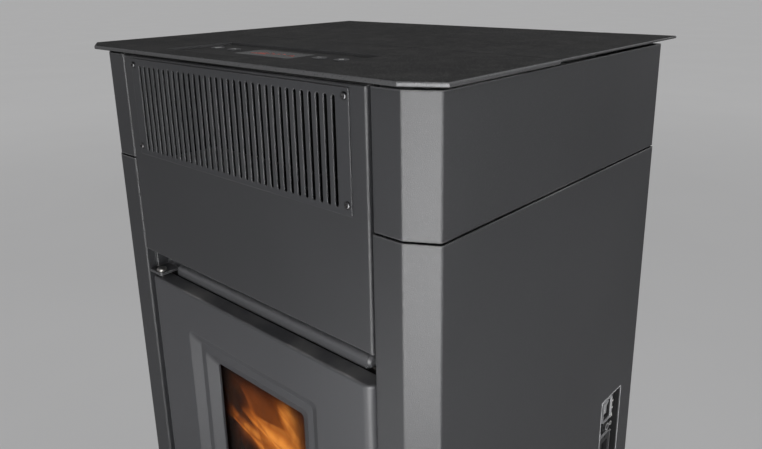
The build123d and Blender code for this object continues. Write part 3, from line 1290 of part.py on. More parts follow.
def make_auger():
    r = AUGER_TUBE_R
    tube = rod_y(0, AUGER_Y0, AUGER_Y1, AUGER_Z, r)
    collar = slab(
        -SPOUT_HALF - COLLAR_LIP, SPOUT_HALF + COLLAR_LIP,
        SPOUT_Y - SPOUT_LEN / 2 - COLLAR_LIP, SPOUT_Y + SPOUT_LEN / 2 + COLLAR_LIP,
        AUGER_Z, SPOUT_Z,
    )
    tube += collar
    tube -= rod_y(0, AUGER_Y0 + AUGER_CAP, AUGER_Y1 - AUGER_CAP, AUGER_Z, r - AUGER_WALL)
    mouth_x = SPOUT_HALF - SHEET
    mouth_y = SPOUT_LEN / 2 - SHEET
    tube -= slab(
        -mouth_x, mouth_x, SPOUT_Y - mouth_y, SPOUT_Y + mouth_y, AUGER_Z, SPOUT_Z + 1
    )
    drop = CHUTE_WALL + 2
    tube -= slab(
        -CHUTE_HALF + drop, CHUTE_HALF - drop, CHUTE_Y0 + drop, CHUTE_Y0 + CHUTE_LEN - drop,
        AUGER_Z - r - 1, AUGER_Z,
    )
    tube -= rod_y(0, AUGER_Y0 - 1, AUGER_Y0 + AUGER_CAP + 1, AUGER_Z, SHAFT_TIP_R + RUN_GAP)
    tube -= rod_y(0, AUGER_Y1 - AUGER_CAP - 1, AUGER_Y1 + 1, AUGER_Z, SHAFT_R + RUN_GAP)

    saddle_top = AUGER_Z - r + 16
    saddle = slab(
        -CHUTE_HALF, CHUTE_HALF, CHUTE_Y0, CHUTE_Y0 + CHUTE_LEN, AUGER_Z - r, saddle_top
    )
    w = CHUTE_WALL
    saddle -= slab(
        -CHUTE_HALF + w, CHUTE_HALF - w, CHUTE_Y0 + w, CHUTE_Y0 + CHUTE_LEN - w,
        AUGER_Z - r - 1, saddle_top + 1,
    )
    saddle -= rod_y(0, CHUTE_Y0 - 1, CHUTE_Y0 + CHUTE_LEN + 1, AUGER_Z, r)
    chute = chute_solid(0, 0) - chute_solid(w, 2)
    keep("auger_tube", tube, chute + saddle)

    shaft = rod_y(0, AUGER_Y0 + AUGER_CAP + SIDE_GAP, AUGER_Y1 + SHAFT_IN, AUGER_Z, SHAFT_R)
    shaft += rod_y(0, AUGER_Y0, AUGER_Y0 + AUGER_CAP + 1, AUGER_Z, SHAFT_TIP_R)
    keep("auger_screw", shaft, *auger_flight())


def auger_flight():
    """The flight as thin sectors, each one step further round and along than the last."""
    steps_per_turn = 24
    steps = int(FLIGHT_TURNS * steps_per_turn)
    step_angle = 360.0 / steps_per_turn
    advance = FLIGHT_PITCH / steps_per_turn
    y0 = AUGER_Y0 + AUGER_CAP + 5
    sections = []
    for i in range(steps + 1):
        angle = math.radians(i * step_angle)
        y = y0 + i * advance
        points = []
        for r, dy in ((SHAFT_R, 0), (FLIGHT_R, 0), (FLIGHT_R, FLIGHT_T), (SHAFT_R, FLIGHT_T)):
            points.append((r * math.sin(angle), y + dy, AUGER_Z + r * math.cos(angle)))
        sections.append(points)
    faces = []
    for a, b in zip(sections, sections[1:]):
        for k in range(4):
            n = (k + 1) % 4
            faces.append(Face(Wire.make_polygon([a[k], a[n], b[n]], close=True)))
            faces.append(Face(Wire.make_polygon([a[k], b[n], b[k]], close=True)))
    faces.append(Face(Wire.make_polygon(sections[0], close=True)))
    faces.append(Face(Wire.make_polygon(sections[-1], close=True)))
    flight = Solid(Shell(faces))
    core = rod_y(0, AUGER_Y0, AUGER_Y1, AUGER_Z, SHAFT_R)
    return (Part() + flight - core).solids()


def make_gearmotor():
    y0 = AUGER_Y1
    y1 = y0 + GEARBOX_D
    half = GEARBOX_H / 2
    box = slab(-half, half, y0, y1, AUGER_Z - half, AUGER_Z + half)
    box = fillet(box.edges().filter_by(Axis.Y), 8)
    can = rod_y(0, y1, y1 + GEAR_MOTOR_L, AUGER_Z, GEAR_MOTOR_R)
    can = fillet(edges_at(can, "y", y1 + GEAR_MOTOR_L), 3)
    motor = box + can
    motor -= rod_y(0, y0 - 1, y0 + SHAFT_IN + SIDE_GAP, AUGER_Z, SHAFT_R + RUN_GAP)
    keep("auger_gearmotor", motor)


# ---------------------------------------------------------------- smoke path

def fan_profile(shrink):
    """Outline of the extractor housing: a drum with a box that leads to the flue."""
    plane = Plane(origin=(0, 0, 0), x_dir=(1, 0, 0), z_dir=(0, -1, 0))
    drum = Pos(FAN_X, FAN_Z) * Circle(FAN_R - shrink)
    x0 = FAN_X
    x1 = OUTLET_X1 - shrink
    z0 = OUTLET_Z0 + shrink
    z1 = FAN_Z + FAN_R - shrink
    box = Pos((x0 + x1) / 2, (z0 + z1) / 2) * Rectangle(x1 - x0, z1 - z0)
    return plane * (drum + box)


def make_extractor():
    w = FAN_WALL
    rear = FAN_Y0 + FAN_D
    outer = Pos(0, FAN_Y0, 0) * extrude(fan_profile(0), FAN_D, dir=(0, 1, 0))
    inner = Pos(0, FAN_Y0 + w, 0) * extrude(fan_profile(w), FAN_D - 2 * w, dir=(0, 1, 0))
    foot_y = FAN_Y0 + FAN_FOOT_Y
    foot = slab(
        FAN_X - FAN_FOOT_HALF, FAN_X + FAN_FOOT_HALF, foot_y, foot_y + FAN_FOOT_L,
        BASE_TOP, FAN_Z - FAN_R + FAN_FOOT_LAP,
    )
    housing = outer + foot - inner
    housing -= rod_y(FAN_X, FAN_Y0 - 1, FAN_Y0 + w + 1, FAN_Z, WHEEL_EYE_R)
    housing -= rod_y(FAN_X, rear - w - 1, rear + 1, FAN_Z, FAN_SHAFT_R + 1)
    bore = FLUE_R - PIPE_STEP - FLUE_WALL
    housing -= rod_y(FLUE_X, rear - w - 1, rear + 1, FLUE_Z, bore)

    y1 = rear - w - WHEEL_GAP
    y0 = y1 - WHEEL_D
    plate_y = y1 - WHEEL_PLATE_T
    wheel = rod_y(FAN_X, plate_y, y1, FAN_Z, WHEEL_R)
    wheel += rod_y(FAN_X, y0, y1, FAN_Z, WHEEL_HUB_R)
    blade = slab(WHEEL_HUB_R - 1, WHEEL_R - 2, y0, plate_y, -BLADE_T / 2, BLADE_T / 2)
    for i in range(WHEEL_BLADES):
        wheel += Pos(FAN_X, 0, FAN_Z) * Rot(0, 360 / WHEEL_BLADES * i, 0) * blade
    wheel += rod_y(FAN_X, y1 - 1, rear + FAN_SHAFT_IN, FAN_Z, FAN_SHAFT_R)
    keep("extractor_impeller", wheel)
    motor = rod_y(FAN_X, rear, rear + FAN_MOTOR_L, FAN_Z, FAN_MOTOR_R)
    motor = fillet(edges_at(motor, "y", rear + FAN_MOTOR_L), 5)
    shaft_end = rear + FAN_SHAFT_IN + SIDE_GAP
    motor -= rod_y(FAN_X, rear - REACH, shaft_end, FAN_Z, FAN_SHAFT_R + RUN_GAP)
    keep("extractor_motor", motor)
    spigot = rod_y(FLUE_X, rear, BODY_DEPTH, FLUE_Z, FLUE_R - PIPE_STEP)
    spigot += rod_y(FLUE_X, rear, rear + 2, FLUE_Z, FLUE_R + 2)
    spigot += rod_y(FLUE_X, BODY_DEPTH, FLUE_REAR, FLUE_Z, FLUE_R)
    keep("flue_spigot", spigot - rod_y(FLUE_X, rear - 1, FLUE_REAR + 1, FLUE_Z, bore))

    duct = slab(FAN_X - DUCT_HALF_X, FAN_X + DUCT_HALF_X, BOX_Y1, FAN_Y0, SMOKE_Z0, SMOKE_Z1)
    duct -= slab(
        FAN_X - DUCT_HALF_X + w, FAN_X + DUCT_HALF_X - w, BOX_Y1 + w, FAN_Y0 - w,
        SMOKE_Z0 + w, SMOKE_Z1 - w,
    )
    duct -= smoke_port(BOX_Y1 - 1, BOX_Y1 + w + 1)
    duct -= rod_y(FAN_X, FAN_Y0 - w - 1, FAN_Y0 + 1, FAN_Z, WHEEL_EYE_R)
    keep("extractor_housing", housing, duct)


def make_air_pipe():
    front = BOX_Y1 - BOX_T - LINING_T
    pipe = rod_y(AIR_X, front, BODY_DEPTH, AIR_Z, AIR_R - PIPE_STEP)
    pipe += rod_y(AIR_X, BODY_DEPTH, AIR_REAR, AIR_Z, AIR_R)
    pipe -= rod_y(AIR_X, front - 1, AIR_REAR + 1, AIR_Z, AIR_R - PIPE_STEP - AIR_WALL)
    keep("combustion_air_pipe", pipe)


def make_room_fan():
    x0, x1, y, z = BLOWER_X0, BLOWER_X1, BLOWER_Y, BLOWER_Z
    c = BLOWER_CASE
    w = FAN_WALL
    case = slab(x0, x1, y - c, y + c, z - c, BLOWER_TOP)
    case -= rod_x(x0 + w, x1 - w, y, z, BLOWER_BORE_R)
    out, rear_in = BLOWER_OUTLET, BLOWER_INLET
    case -= slab(x0 + w, x1 - w, y - out, y + out, z, BLOWER_TOP + REACH)
    case -= slab(x0 + w, x1 - w, y, y + c + REACH, z - rear_in, z + rear_in)
    case -= rod_x(x0 - REACH, x1 + REACH, y, z, BLOWER_SHAFT_R + RUN_GAP)
    foot = BLOWER_FOOT_HALF
    for x in (x0 + BLOWER_FOOT_IN, x1 - BLOWER_FOOT_IN - BLOWER_FOOT_W):
        case += slab(x, x + BLOWER_FOOT_W, y - foot, y + foot, BASE_TOP, z - c)
    a = x0 + w + DRUM_GAP
    b = x1 - w - DRUM_GAP
    drum = rod_x(a, b, y, z, BLOWER_R)
    drum -= rod_x(a + DRUM_END_T, b - DRUM_END_T, y, z, BLOWER_R - BLOWER_RING)
    slot = slab(
        a + 2 * DRUM_END_T, b - 2 * DRUM_END_T, -BLOWER_SLOT_W / 2, BLOWER_SLOT_W / 2,
        BLOWER_R / 2, BLOWER_R + REACH,
    )
    for i in range(BLOWER_SLOTS):
        drum -= Pos(0, y, z) * Rot(360 / BLOWER_SLOTS * i, 0, 0) * slot
    drum += rod_x(x0, x1 + BLOWER_SHAFT_IN, y, z, BLOWER_SHAFT_R)
    keep("room_fan_impeller", drum)
    motor = rod_x(x1, x1 + BLOWER_MOTOR_L, y, z, BLOWER_MOTOR_R)
    motor = fillet(edges_at(motor, "x", x1 + BLOWER_MOTOR_L), 4)
    shaft_end = x1 + BLOWER_SHAFT_IN + SIDE_GAP
    motor -= rod_x(x1 - REACH, shaft_end, y, z, BLOWER_SHAFT_R + RUN_GAP)
    keep("room_fan_housing", case, motor)


# ---------------------------------------------------------------- service recess and electrics

def window_x(x0, x1, y, z, wide, high):
    """A block along X with its middle at y and z, for a window and for what fits in it."""
    return slab(x0, x1, y - wide / 2, y + wide / 2, z - high / 2, z + high / 2)


def make_service_recess():
    """A shallow pan behind the opening in the right side, with the pieces mounted in it."""
    inner = BODY_HALF - SHEET
    back = BODY_HALF - SERVICE_DEEP
    t = SERVICE_T
    y0, y1, z0, z1 = SERVICE_Y0, SERVICE_Y1, SERVICE_Z0, SERVICE_Z1
    f = SERVICE_FLANGE
    pan = slab(inner - t, inner, y0 - f, y1 + f, z0 - f, z1 + f)
    pan += slab(back - t, inner, y0 - t, y1 + t, z0 - t, z1 + t)
    pan -= slab(back, inner + 1, y0, y1, z0, z1)
    y = SERVICE_MID_Y
    cut0, cut1 = back - t - REACH, back + REACH
    pan -= window_x(cut0, cut1, y, ROCKER_Z, ROCKER_W, ROCKER_H)
    pan -= rod_x(cut0, cut1, y, FUSE_Z, FUSE_R)
    pan -= window_x(cut0, cut1, y, INLET_Z, INLET_W, INLET_H)
    pan -= rod_x(cut0, cut1, y, RESET_Z, RESET_R - RESET_STEP)
    keep("service_pan", pan, make_rocker(back, y))

    collar = back + FUSE_COLLAR_T
    cap = collar + FUSE_CAP_T
    fuse = rod_x(back - INLET_DEEP, back, y, FUSE_Z, FUSE_R)
    fuse += rod_x(back, collar, y, FUSE_Z, FUSE_R + FUSE_COLLAR)
    fuse += rod_x(collar, cap, y, FUSE_Z, FUSE_R - 0.5)
    fuse -= window_x(cap - 1, cap + REACH, y, FUSE_Z, FUSE_SLOT_W, 2 * FUSE_SLOT_HALF)

    inlet = window_x(back - INLET_DEEP, back, y, INLET_Z, INLET_W, INLET_H)
    rim = window_x(back, back + INLET_RIM_T, y, INLET_Z, INLET_RIM_W, INLET_RIM_H)
    inlet += fillet(rim.edges().filter_by(Axis.X), 4)
    socket = window_x(
        back - SOCKET_DEEP, back + INLET_RIM_T + REACH, y, INLET_Z, SOCKET_W, SOCKET_H
    )
    inlet -= fillet(socket.edges().filter_by(Axis.X), 2.5)
    pin_root, pin_end = back - SOCKET_DEEP - 1, back - INLET_PIN_OUT
    for pin_y, pin_z in ((EARTH_PIN_Y, 0), (LIVE_PIN_Y, LIVE_PIN_Z), (LIVE_PIN_Y, -LIVE_PIN_Z)):
        inlet += window_x(pin_root, pin_end, y + pin_y, INLET_Z + pin_z, INLET_PIN_W, INLET_PIN_T)
    for z in (INLET_Z - INLET_SCREW_Z, INLET_Z + INLET_SCREW_Z):
        inlet -= rod_x(back + 1, back + INLET_RIM_T + REACH, y, z, INLET_SCREW_R)

    reset = rod_x(back, back + RESET_PROUD, y, RESET_Z, RESET_R)
    reset = fillet(edges_at(reset, "x", back + RESET_PROUD), 1.5)
    reset += rod_x(back - RESET_TAIL, back, y, RESET_Z, RESET_R - RESET_STEP)
    keep("service_fittings", fuse, inlet, reset)


def make_rocker(back, y):
    """Store the rocker, which tips about a pin across it, and return the switch housing."""
    z = ROCKER_Z
    housing = window_x(back - ROCKER_DEEP, back, y, z, ROCKER_W, ROCKER_H)
    rim = window_x(
        back, back + ROCKER_RIM_T, y, z, ROCKER_W + 2 * RIM_LAP, ROCKER_H + 2 * RIM_LAP
    )
    housing += fillet(rim.edges().filter_by(Axis.X), 1.5)
    housing -= window_x(
        back - ROCKER_WELL, back + ROCKER_RIM_T + REACH, y, z, ROCKER_WELL_W, ROCKER_WELL_H
    )
    half = ROCKER_PIN_HALF
    pin = rod_y(0, y - half, y + half, 0, ROCKER_PIN_R)
    place = Pos(back - ROCKER_PIN_IN, 0, z)
    housing -= place * rod_y(0, y - half - 0.5, y + half + 0.5, 0, ROCKER_PIN_R + RUN_GAP)
    # The rocker's face is two flats that meet in a shallow valley over the pin.
    side = [(-7, -9.5), (2.6, -10.4), (1.4, 0), (2.6, 10.4), (-7, 9.5)]
    plane = Plane(origin=(0, y, 0), x_dir=(1, 0, 0), z_dir=(0, -1, 0))
    rocker = extrude(plane * Polygon(*side, align=None), ROCKER_HALF, both=True)
    rocker = Rot(0, ROCKER_TILT, 0) * (rocker + pin)
    keep("rocker_switch", place * rocker)
    return housing


def make_electrics():
    x1 = CHASSIS_IN
    box = slab(
        x1 - CONTROL_W, x1, CONTROL_Y0, CONTROL_Y0 + CONTROL_D, CONTROL_Z0, CONTROL_Z0 + CONTROL_H
    )
    box = fillet(edges_at(box, "x", x1 - CONTROL_W), 3)
    x0 = -CHASSIS_IN
    switch = rod_x(x0, x0 + PRESSURE_L, PRESSURE_Y, PRESSURE_Z, PRESSURE_R)
    switch = fillet(edges_at(switch, "x", x0 + PRESSURE_L), 4)
    face = x0 + PRESSURE_L
    for z in (PRESSURE_Z - NIPPLE_Z, PRESSURE_Z + NIPPLE_Z):
        switch += rod_x(face - 1, face + NIPPLE_L, PRESSURE_Y, z, NIPPLE_R)
    keep("control_box_and_pressure_switch", box, switch)


def write_parts():
    os.makedirs("parts", exist_ok=True)
    for name, solids in PARTS.items():
        placed = [Pos(0, -Y_MID, 0) * solid for solid in solids]
        shape = placed[0] if len(placed) == 1 else Compound(children=placed)
        export_step(shape, f"parts/{name}.step")


make_side_panels()
make_chassis()
make_rear_panel()
make_feet()
make_front_panel()
make_grille()
make_air_duct()
make_top_plate()
make_lid()
make_lid_hinges()
make_control_panel()
make_door()
make_door_fittings()
make_door_hinges()
make_latch()
make_rail()
make_drawer()
make_firebox()
make_firebox_insides()
make_hopper()
make_auger()
make_gearmotor()
make_extractor()
make_air_pipe()
make_room_fan()
make_service_recess()
make_electrics()
write_parts()
print(len(PARTS), "nodes")
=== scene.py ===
# %% [markdown]
# # A pellet stove in dark powder coat
#
# The stove burns small pressed wood pellets. Its casing is folded steel sheet under a fine
# textured coat, its top is a darker, coarser plate, and a small fire shows through the door.
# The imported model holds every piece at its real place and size. This script gives each surface
# its finish, and adds what is too small, too loose or too soft for the model: flames, pellets,
# ash, rope, screws and printed marks.

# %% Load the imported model
import bpy
import math
import random
from mathutils import Matrix, Vector


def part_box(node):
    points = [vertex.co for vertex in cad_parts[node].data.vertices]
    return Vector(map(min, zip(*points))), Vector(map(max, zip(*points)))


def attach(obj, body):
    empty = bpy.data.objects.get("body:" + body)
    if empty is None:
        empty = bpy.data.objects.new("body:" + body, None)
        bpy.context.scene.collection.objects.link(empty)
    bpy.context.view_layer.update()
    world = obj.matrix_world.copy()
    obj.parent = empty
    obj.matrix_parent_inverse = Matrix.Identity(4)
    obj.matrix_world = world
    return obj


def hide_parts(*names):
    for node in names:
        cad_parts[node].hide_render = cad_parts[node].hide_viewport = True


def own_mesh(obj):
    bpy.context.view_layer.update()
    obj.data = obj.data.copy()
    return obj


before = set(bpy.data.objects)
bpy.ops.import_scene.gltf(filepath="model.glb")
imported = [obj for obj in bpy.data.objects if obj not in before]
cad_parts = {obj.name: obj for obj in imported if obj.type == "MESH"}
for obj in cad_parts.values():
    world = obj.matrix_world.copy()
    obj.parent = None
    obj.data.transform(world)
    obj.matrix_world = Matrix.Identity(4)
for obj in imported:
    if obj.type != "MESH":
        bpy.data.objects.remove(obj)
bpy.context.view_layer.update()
scene = bpy.context.scene
MM = 0.001
print("pieces in the packed model:", len(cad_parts))

# %% [markdown]
# ## The camera
#
# The picture was taken from the front right corner, a little above the top plate and very
# near, so the top looks almost flat and the upright edges lean together. A wide lens close by
# gives that. The lens, the place and the three angles were worked out from straight edges whose
# real length is known. The small shift stands for a picture that was cropped off centre.

# %% Camera
CAMERA_PLACE = (0.5962, -0.6328, 1.0891)
CAMERA_ANGLES = (74.072, 0.917, 41.998)
CAMERA_LENS = 32.579
CAMERA_SHIFT = (-0.0119, -0.0717)

camera_data = bpy.data.cameras.new("camera")
camera_data.lens = CAMERA_LENS
camera_data.shift_x, camera_data.shift_y = CAMERA_SHIFT
camera_data.clip_start = 0.01
camera = bpy.data.objects.new("camera", camera_data)
camera.location = CAMERA_PLACE
camera.rotation_euler = [math.radians(angle) for angle in CAMERA_ANGLES]
scene.collection.objects.link(camera)
scene.camera = camera

# %% [markdown]
# ## Light
#
# A dark, half-matt coat shows its form by what it mirrors, so the light is made of soft boxes,
# and most are placed for one plane. A tall one leans back low in front on the right, where the
# corner bevels mirror it: they are the brightest planes of the stove, and a small one beside it
# lifts the upper bevel. A narrow one stands far to the right, for the thin bright line along the
# bend from bevel to side. A weak one near the floor reaches what faces down in front, and a
# large one behind opens the rear. Wide ones in front, at the left and overhead fill the rest.
# The boxes themselves aren't seen by the camera.

# %% Light boxes
scene.view_settings.view_transform = "Standard"


def lamp(name, kind, place, watts, **settings):
    """A lamp that isn't seen itself."""
    data = bpy.data.lights.new(name, kind)
    data.energy = watts
    for label, value in settings.items():
        setattr(data, label, value)
    holder = bpy.data.objects.new(name, data)
    holder.location = place
    holder.visible_camera = False
    holder.visible_transmission = False
    scene.collection.objects.link(holder)
    return holder


def light_box(name, place, aim, width, height, watts):
    """A soft rectangular lamp, turned to a point."""
    box = lamp(name, "AREA", place, watts, shape="RECTANGLE", size=width, size_y=height)
    box.rotation_euler = (Vector(aim) - Vector(place)).to_track_quat("-Z", "Y").to_euler()
    return box


sparing_boxes = [
    light_box("bevel_box", (0.60, -1.10, 0.64), (0.255, -0.22, 0.92), 0.34, 1.2, 13.0),
    light_box("corner_box", (1.05, -0.87, 0.80), (0.25, -0.22, 0.95), 0.16, 0.16, 3.0),
    light_box("edge_box", (1.7, -0.02, 0.75), (0.255, -0.22, 0.75), 0.16, 1.3, 9.0),
    light_box("low_box", (-0.10, -0.95, 0.16), (-0.1, -0.23, 0.55), 0.5, 0.26, 0.9),
    light_box("rear_box", (2.0, 4.0, 2.6), (0, 0, 0.7), 2.8, 2.8, 34.0),
]
light_box("front_box", (1.9, -2.3, 1.9), (0, 0, 0.6), 1.6, 1.6, 15.0)
light_box("left_box", (-2.6, -1.6, 1.5), (0, 0, 0.5), 1.5, 1.8, 2.0)
light_box("top_box", (0.1, 0.2, 3.0), (0, 0, 1.0), 2.4, 2.4, 16.0)
print("boxes that spare the floor:", [box.name for box in sparing_boxes])

# %% [markdown]
# ## Building materials
#
# Every finish is a small tree of nodes. A few helpers keep the trees short: they add a node and
# fill its inputs with numbers or with the outputs of other nodes, and they start and end a node
# group with named inputs and outputs. Effects that several finishes share, such as the grain of
# a coat or the wear and painted highlight along an edge, are made once as groups. They give back
# masks, heights and normals only, so the shader stays in the material.

# %% Node helpers
def is_output(value):
    return isinstance(value, bpy.types.NodeSocket)


def fill(socket, value):
    """Link an output to a socket, or set the socket to a number, a point or a colour."""
    if is_output(value):
        socket.id_data.links.new(value, socket)
    elif socket.type == "RGBA":
        socket.default_value = (*value, 1.0)
    else:
        socket.default_value = value


def source(tree, kind):
    """The outputs of a node that needs no inputs."""
    return tree.nodes.new("ShaderNode" + kind).outputs


def add(kind, inputs, **settings):
    """Add a shader node to the tree that its inputs come from, and fill them."""
    tree = next(value.id_data for value in inputs.values() if is_output(value))
    made = tree.nodes.new("ShaderNode" + kind)
    for name, value in settings.items():
        setattr(made, name, value)
    for name, value in inputs.items():
        fill(made.inputs[name], value)
    return made


def math_node(operation, a, b=0.0, clamp=False):
    return add("Math", {0: a, 1: b}, operation=operation, use_clamp=clamp).outputs[0]


def times(a, b, clamp=False):
    return math_node("MULTIPLY", a, b, clamp)


def plus(a, b):
    return math_node("ADD", a, b)


def minus(a, b, clamp=False):
    return math_node("SUBTRACT", a, b, clamp)


def ramp(value, low, high, out_low=0.0, out_high=1.0):
    """Map a value from low..high to out_low..out_high, clamped, with a soft start and end."""
    ends = {"From Min": low, "From Max": high, "To Min": out_low, "To Max": out_high}
    made = add("MapRange", {"Value": value, **ends}, interpolation_type="SMOOTHSTEP")
    return made.outputs["Result"]


def mix(share, a, b):
    """Mix two colours."""
    return add("Mix", {0: share, 6: a, 7: b}, data_type="RGBA").outputs[2]


def cover(colour, mask, share, tint):
    """Lay a tint over a colour by a mask, at most to that share."""
    return mix(times(mask, share), colour, tint)


def places(tree, stretch=None):
    """The point on the piece in metres, stretched along each axis."""
    point = source(tree, "TexCoord")["Object"]
    if stretch is None:
        return point
    return add("Mapping", {"Vector": point, "Scale": stretch}).outputs["Vector"]


def noise(place, scale, detail, distortion=0.0):
    """Soft noise from 0 to 1; scale is how many lumps fit in a metre."""
    inputs = {"Vector": place, "Scale": scale, "Detail": detail, "Distortion": distortion}
    return add("TexNoise", inputs).outputs[0]


def per(size):
    """The scale of a noise whose lumps have that size in metres."""
    return math_node("DIVIDE", 1.0, size)


def new_group(name, **sizes):
    """Start a node group with numbers as inputs; in a name, _ stands for a space."""
    tree = bpy.data.node_groups.new(name, "ShaderNodeTree")
    for label, value in sizes.items():
        label = label.replace("_", " ")
        socket = tree.interface.new_socket(label, in_out="INPUT", socket_type="NodeSocketFloat")
        socket.default_value = value
    return tree, tree.nodes.new("NodeGroupInput").outputs


def give(tree, **results):
    """End a node group with named outputs, which are numbers or normals."""
    kinds = {"VALUE": "NodeSocketFloat", "VECTOR": "NodeSocketVector"}
    for label, value in results.items():
        tree.interface.new_socket(label, in_out="OUTPUT", socket_type=kinds[value.type])
    out = tree.nodes.new("NodeGroupOutput").inputs
    for label, value in results.items():
        fill(out[label], value)
    print("group", tree.name, "gives", list(results))
    return tree


def use(tree, group, **values):
    """Place a group in a material with its own values."""
    made = tree.nodes.new("ShaderNodeGroup")
    made.node_tree = group
    for label, value in values.items():
        made.inputs[label.replace("_", " ")].default_value = value
    return made.outputs


print("node helpers are ready")

# %% [markdown]
# ## Grain of a powder coat
#
# Baked powder flows into tiny domes and leaves a skin like fine orange peel, with some metal
# flakes that glint. It could be a picture, but noise at the real size, about half a millimetre,
# stays sharp at any distance. Two noises are laid over each other for the height, a sparse one
# picks out the flakes, and a very wide one drifts over the sheet, because no oven bakes evenly.

# %% Group: coat grain
tree, given = new_group("coat grain", Grain_Size=0.0006, Drift_Size=0.35)
here = places(tree)
fine = per(given["Grain Size"])
peel = noise(here, fine, 2.0)
domes = add("TexVoronoi", {"Vector": here, "Scale": fine}, feature="SMOOTH_F1")
spark = noise(here, fine, 0.0)
drift = noise(here, per(given["Drift Size"]), 3.0)
coat_grain = give(
    tree, Height=minus(peel, domes.outputs["Distance"]), Flake=ramp(spark, 0.66, 0.8),
    Drift=ramp(drift, 0.3, 0.7),
)

# %% [markdown]
# ## Wear and painted highlight along edges
#
# Powder pulls back from a sharp edge while it melts, and hands and cloths rub it further. The
# coat is thin there and looks paler. On the casing and the door the paler edge is turned up far
# beyond wear, as a painted highlight along the folds. The bevel node gives the normal that a
# rounded edge would have; where it differs from the true normal, an edge is near. Noise breaks
# the line up. The rounded normal is given back too: with it a folded edge catches light over its
# full width.

# %% Group: edge wear and painted highlight
tree, given = new_group("edge wear", Reach=0.0012, Patch_Size=0.02)
rounded = add("Bevel", {"Radius": given["Reach"]}, samples=4).outputs[0]
true_normal = source(tree, "NewGeometry")["True Normal"]
along = add("VectorMath", {0: rounded, 1: true_normal}, operation="DOT_PRODUCT")
near_edge = ramp(along.outputs["Value"], 0.995, 0.85)
edge_patches = noise(places(tree), per(given["Patch Size"]), 4.0)
broken = ramp(edge_patches, 0.35, 0.6)
edge_wear = give(tree, Mask=times(near_edge, broken), Rounded=rounded)

# %% [markdown]
# ## Dust and ash, and painted light on tops
#
# Fine ash settles on what faces up. The mask is the upward part of the normal, broken up by
# noise, so ledges and lids collect a little and walls stay clean. On the door the same mask is
# turned up as painted light, to lift its shaded top face.

# %% Group: settled dust and painted top light
tree, given = new_group("settled dust", Patch_Size=0.03)
normal = source(tree, "NewGeometry")["Normal"]
upward = add("SeparateXYZ", {0: normal}).outputs["Z"]
cloud = noise(places(tree), per(given["Patch Size"]), 5.0)
flat = ramp(upward, 0.5, 0.95)
settled_dust = give(tree, Mask=times(flat, ramp(cloud, 0.4, 0.75)))

# %% [markdown]
# ## Soot and heat
#
# Near the fire, steel turns brown and blue, and soot lies in soft patches. The group gives a
# heat mask that rises towards the middle of the fire and a soot mask, both broken by the same
# noise. Each metal near the fire mixes its own colours with them.

# %% Group: soot and heat
pot_low, pot_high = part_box("burn_pot")
FIRE = Vector(((pot_low.x + pot_high.x) / 2, (pot_low.y + pot_high.y) / 2, pot_high.z))

tree, given = new_group("soot and heat", Reach=0.25, Patch_Size=0.04)
here = places(tree)
away = add("VectorMath", {0: here, 1: tuple(FIRE)}, operation="DISTANCE")
closeness = math_node("DIVIDE", away.outputs["Value"], given["Reach"])
smoke = noise(here, per(given["Patch Size"]), 6.0)
wavering = plus(closeness, minus(smoke, 0.5))
soot_heat = give(tree, Heat=ramp(wavering, 1.0, 0.2), Soot=ramp(smoke, 0.42, 0.62))

# %% [markdown]
# ## Drawn and brushed metal
#
# A drawn bar or a brushed face has fine lines one way. Noise that is stretched a hundred times
# along one axis gives them; the same noise drives height, roughness and a little colour.

# %% Group: brush lines
tree, given = new_group("brush lines", Line_Width=0.0003, Along_X=0.01, Along_Z=1.0)
axes = add("SeparateXYZ", {0: places(tree)}).outputs
squeezed = add("CombineXYZ", {
    "X": times(axes["X"], given["Along X"]),
    "Y": axes["Y"],
    "Z": times(axes["Z"], given["Along Z"]),
}).outputs[0]
lines = noise(squeezed, per(given["Line Width"]), 3.0)
brush_lines = give(tree, Height=lines, Streak=ramp(lines, 0.35, 0.7))

# %% [markdown]
# ## Finishing a material
#
# The last helper joins a tree to one shader. Values that change over the surface arrive as
# outputs; values that are the same everywhere are set on the shader's own sockets.

# %% Material helpers
FINISHES = {}


def new_material(name):
    material = bpy.data.materials.new(name)
    material.use_nodes = True
    material.node_tree.nodes.clear()
    FINISHES[name] = material
    return material.node_tree


def finish(colour, roughness, height=None, depth=0.0, rounded=None, **sockets):
    """End a material with one shader. Height is in units of depth, which is in metres."""
    values = {"Base Color": colour, "Roughness": roughness}
    values.update({label.replace("_", " "): value for label, value in sockets.items()})
    if height is not None:
        bump = add("Bump", {"Height": height, "Distance": depth, "Strength": 1.0})
        if rounded is not None:
            fill(bump.inputs["Normal"], rounded)
        values["Normal"] = bump.outputs["Normal"]
    shader = add("BsdfPrincipled", values)
    add("OutputMaterial", {"Surface": shader.outputs[0]})


def scaled(tone, factor, lift=0.0):
    return tuple(c * factor + lift for c in tone)


print("material helpers are ready")
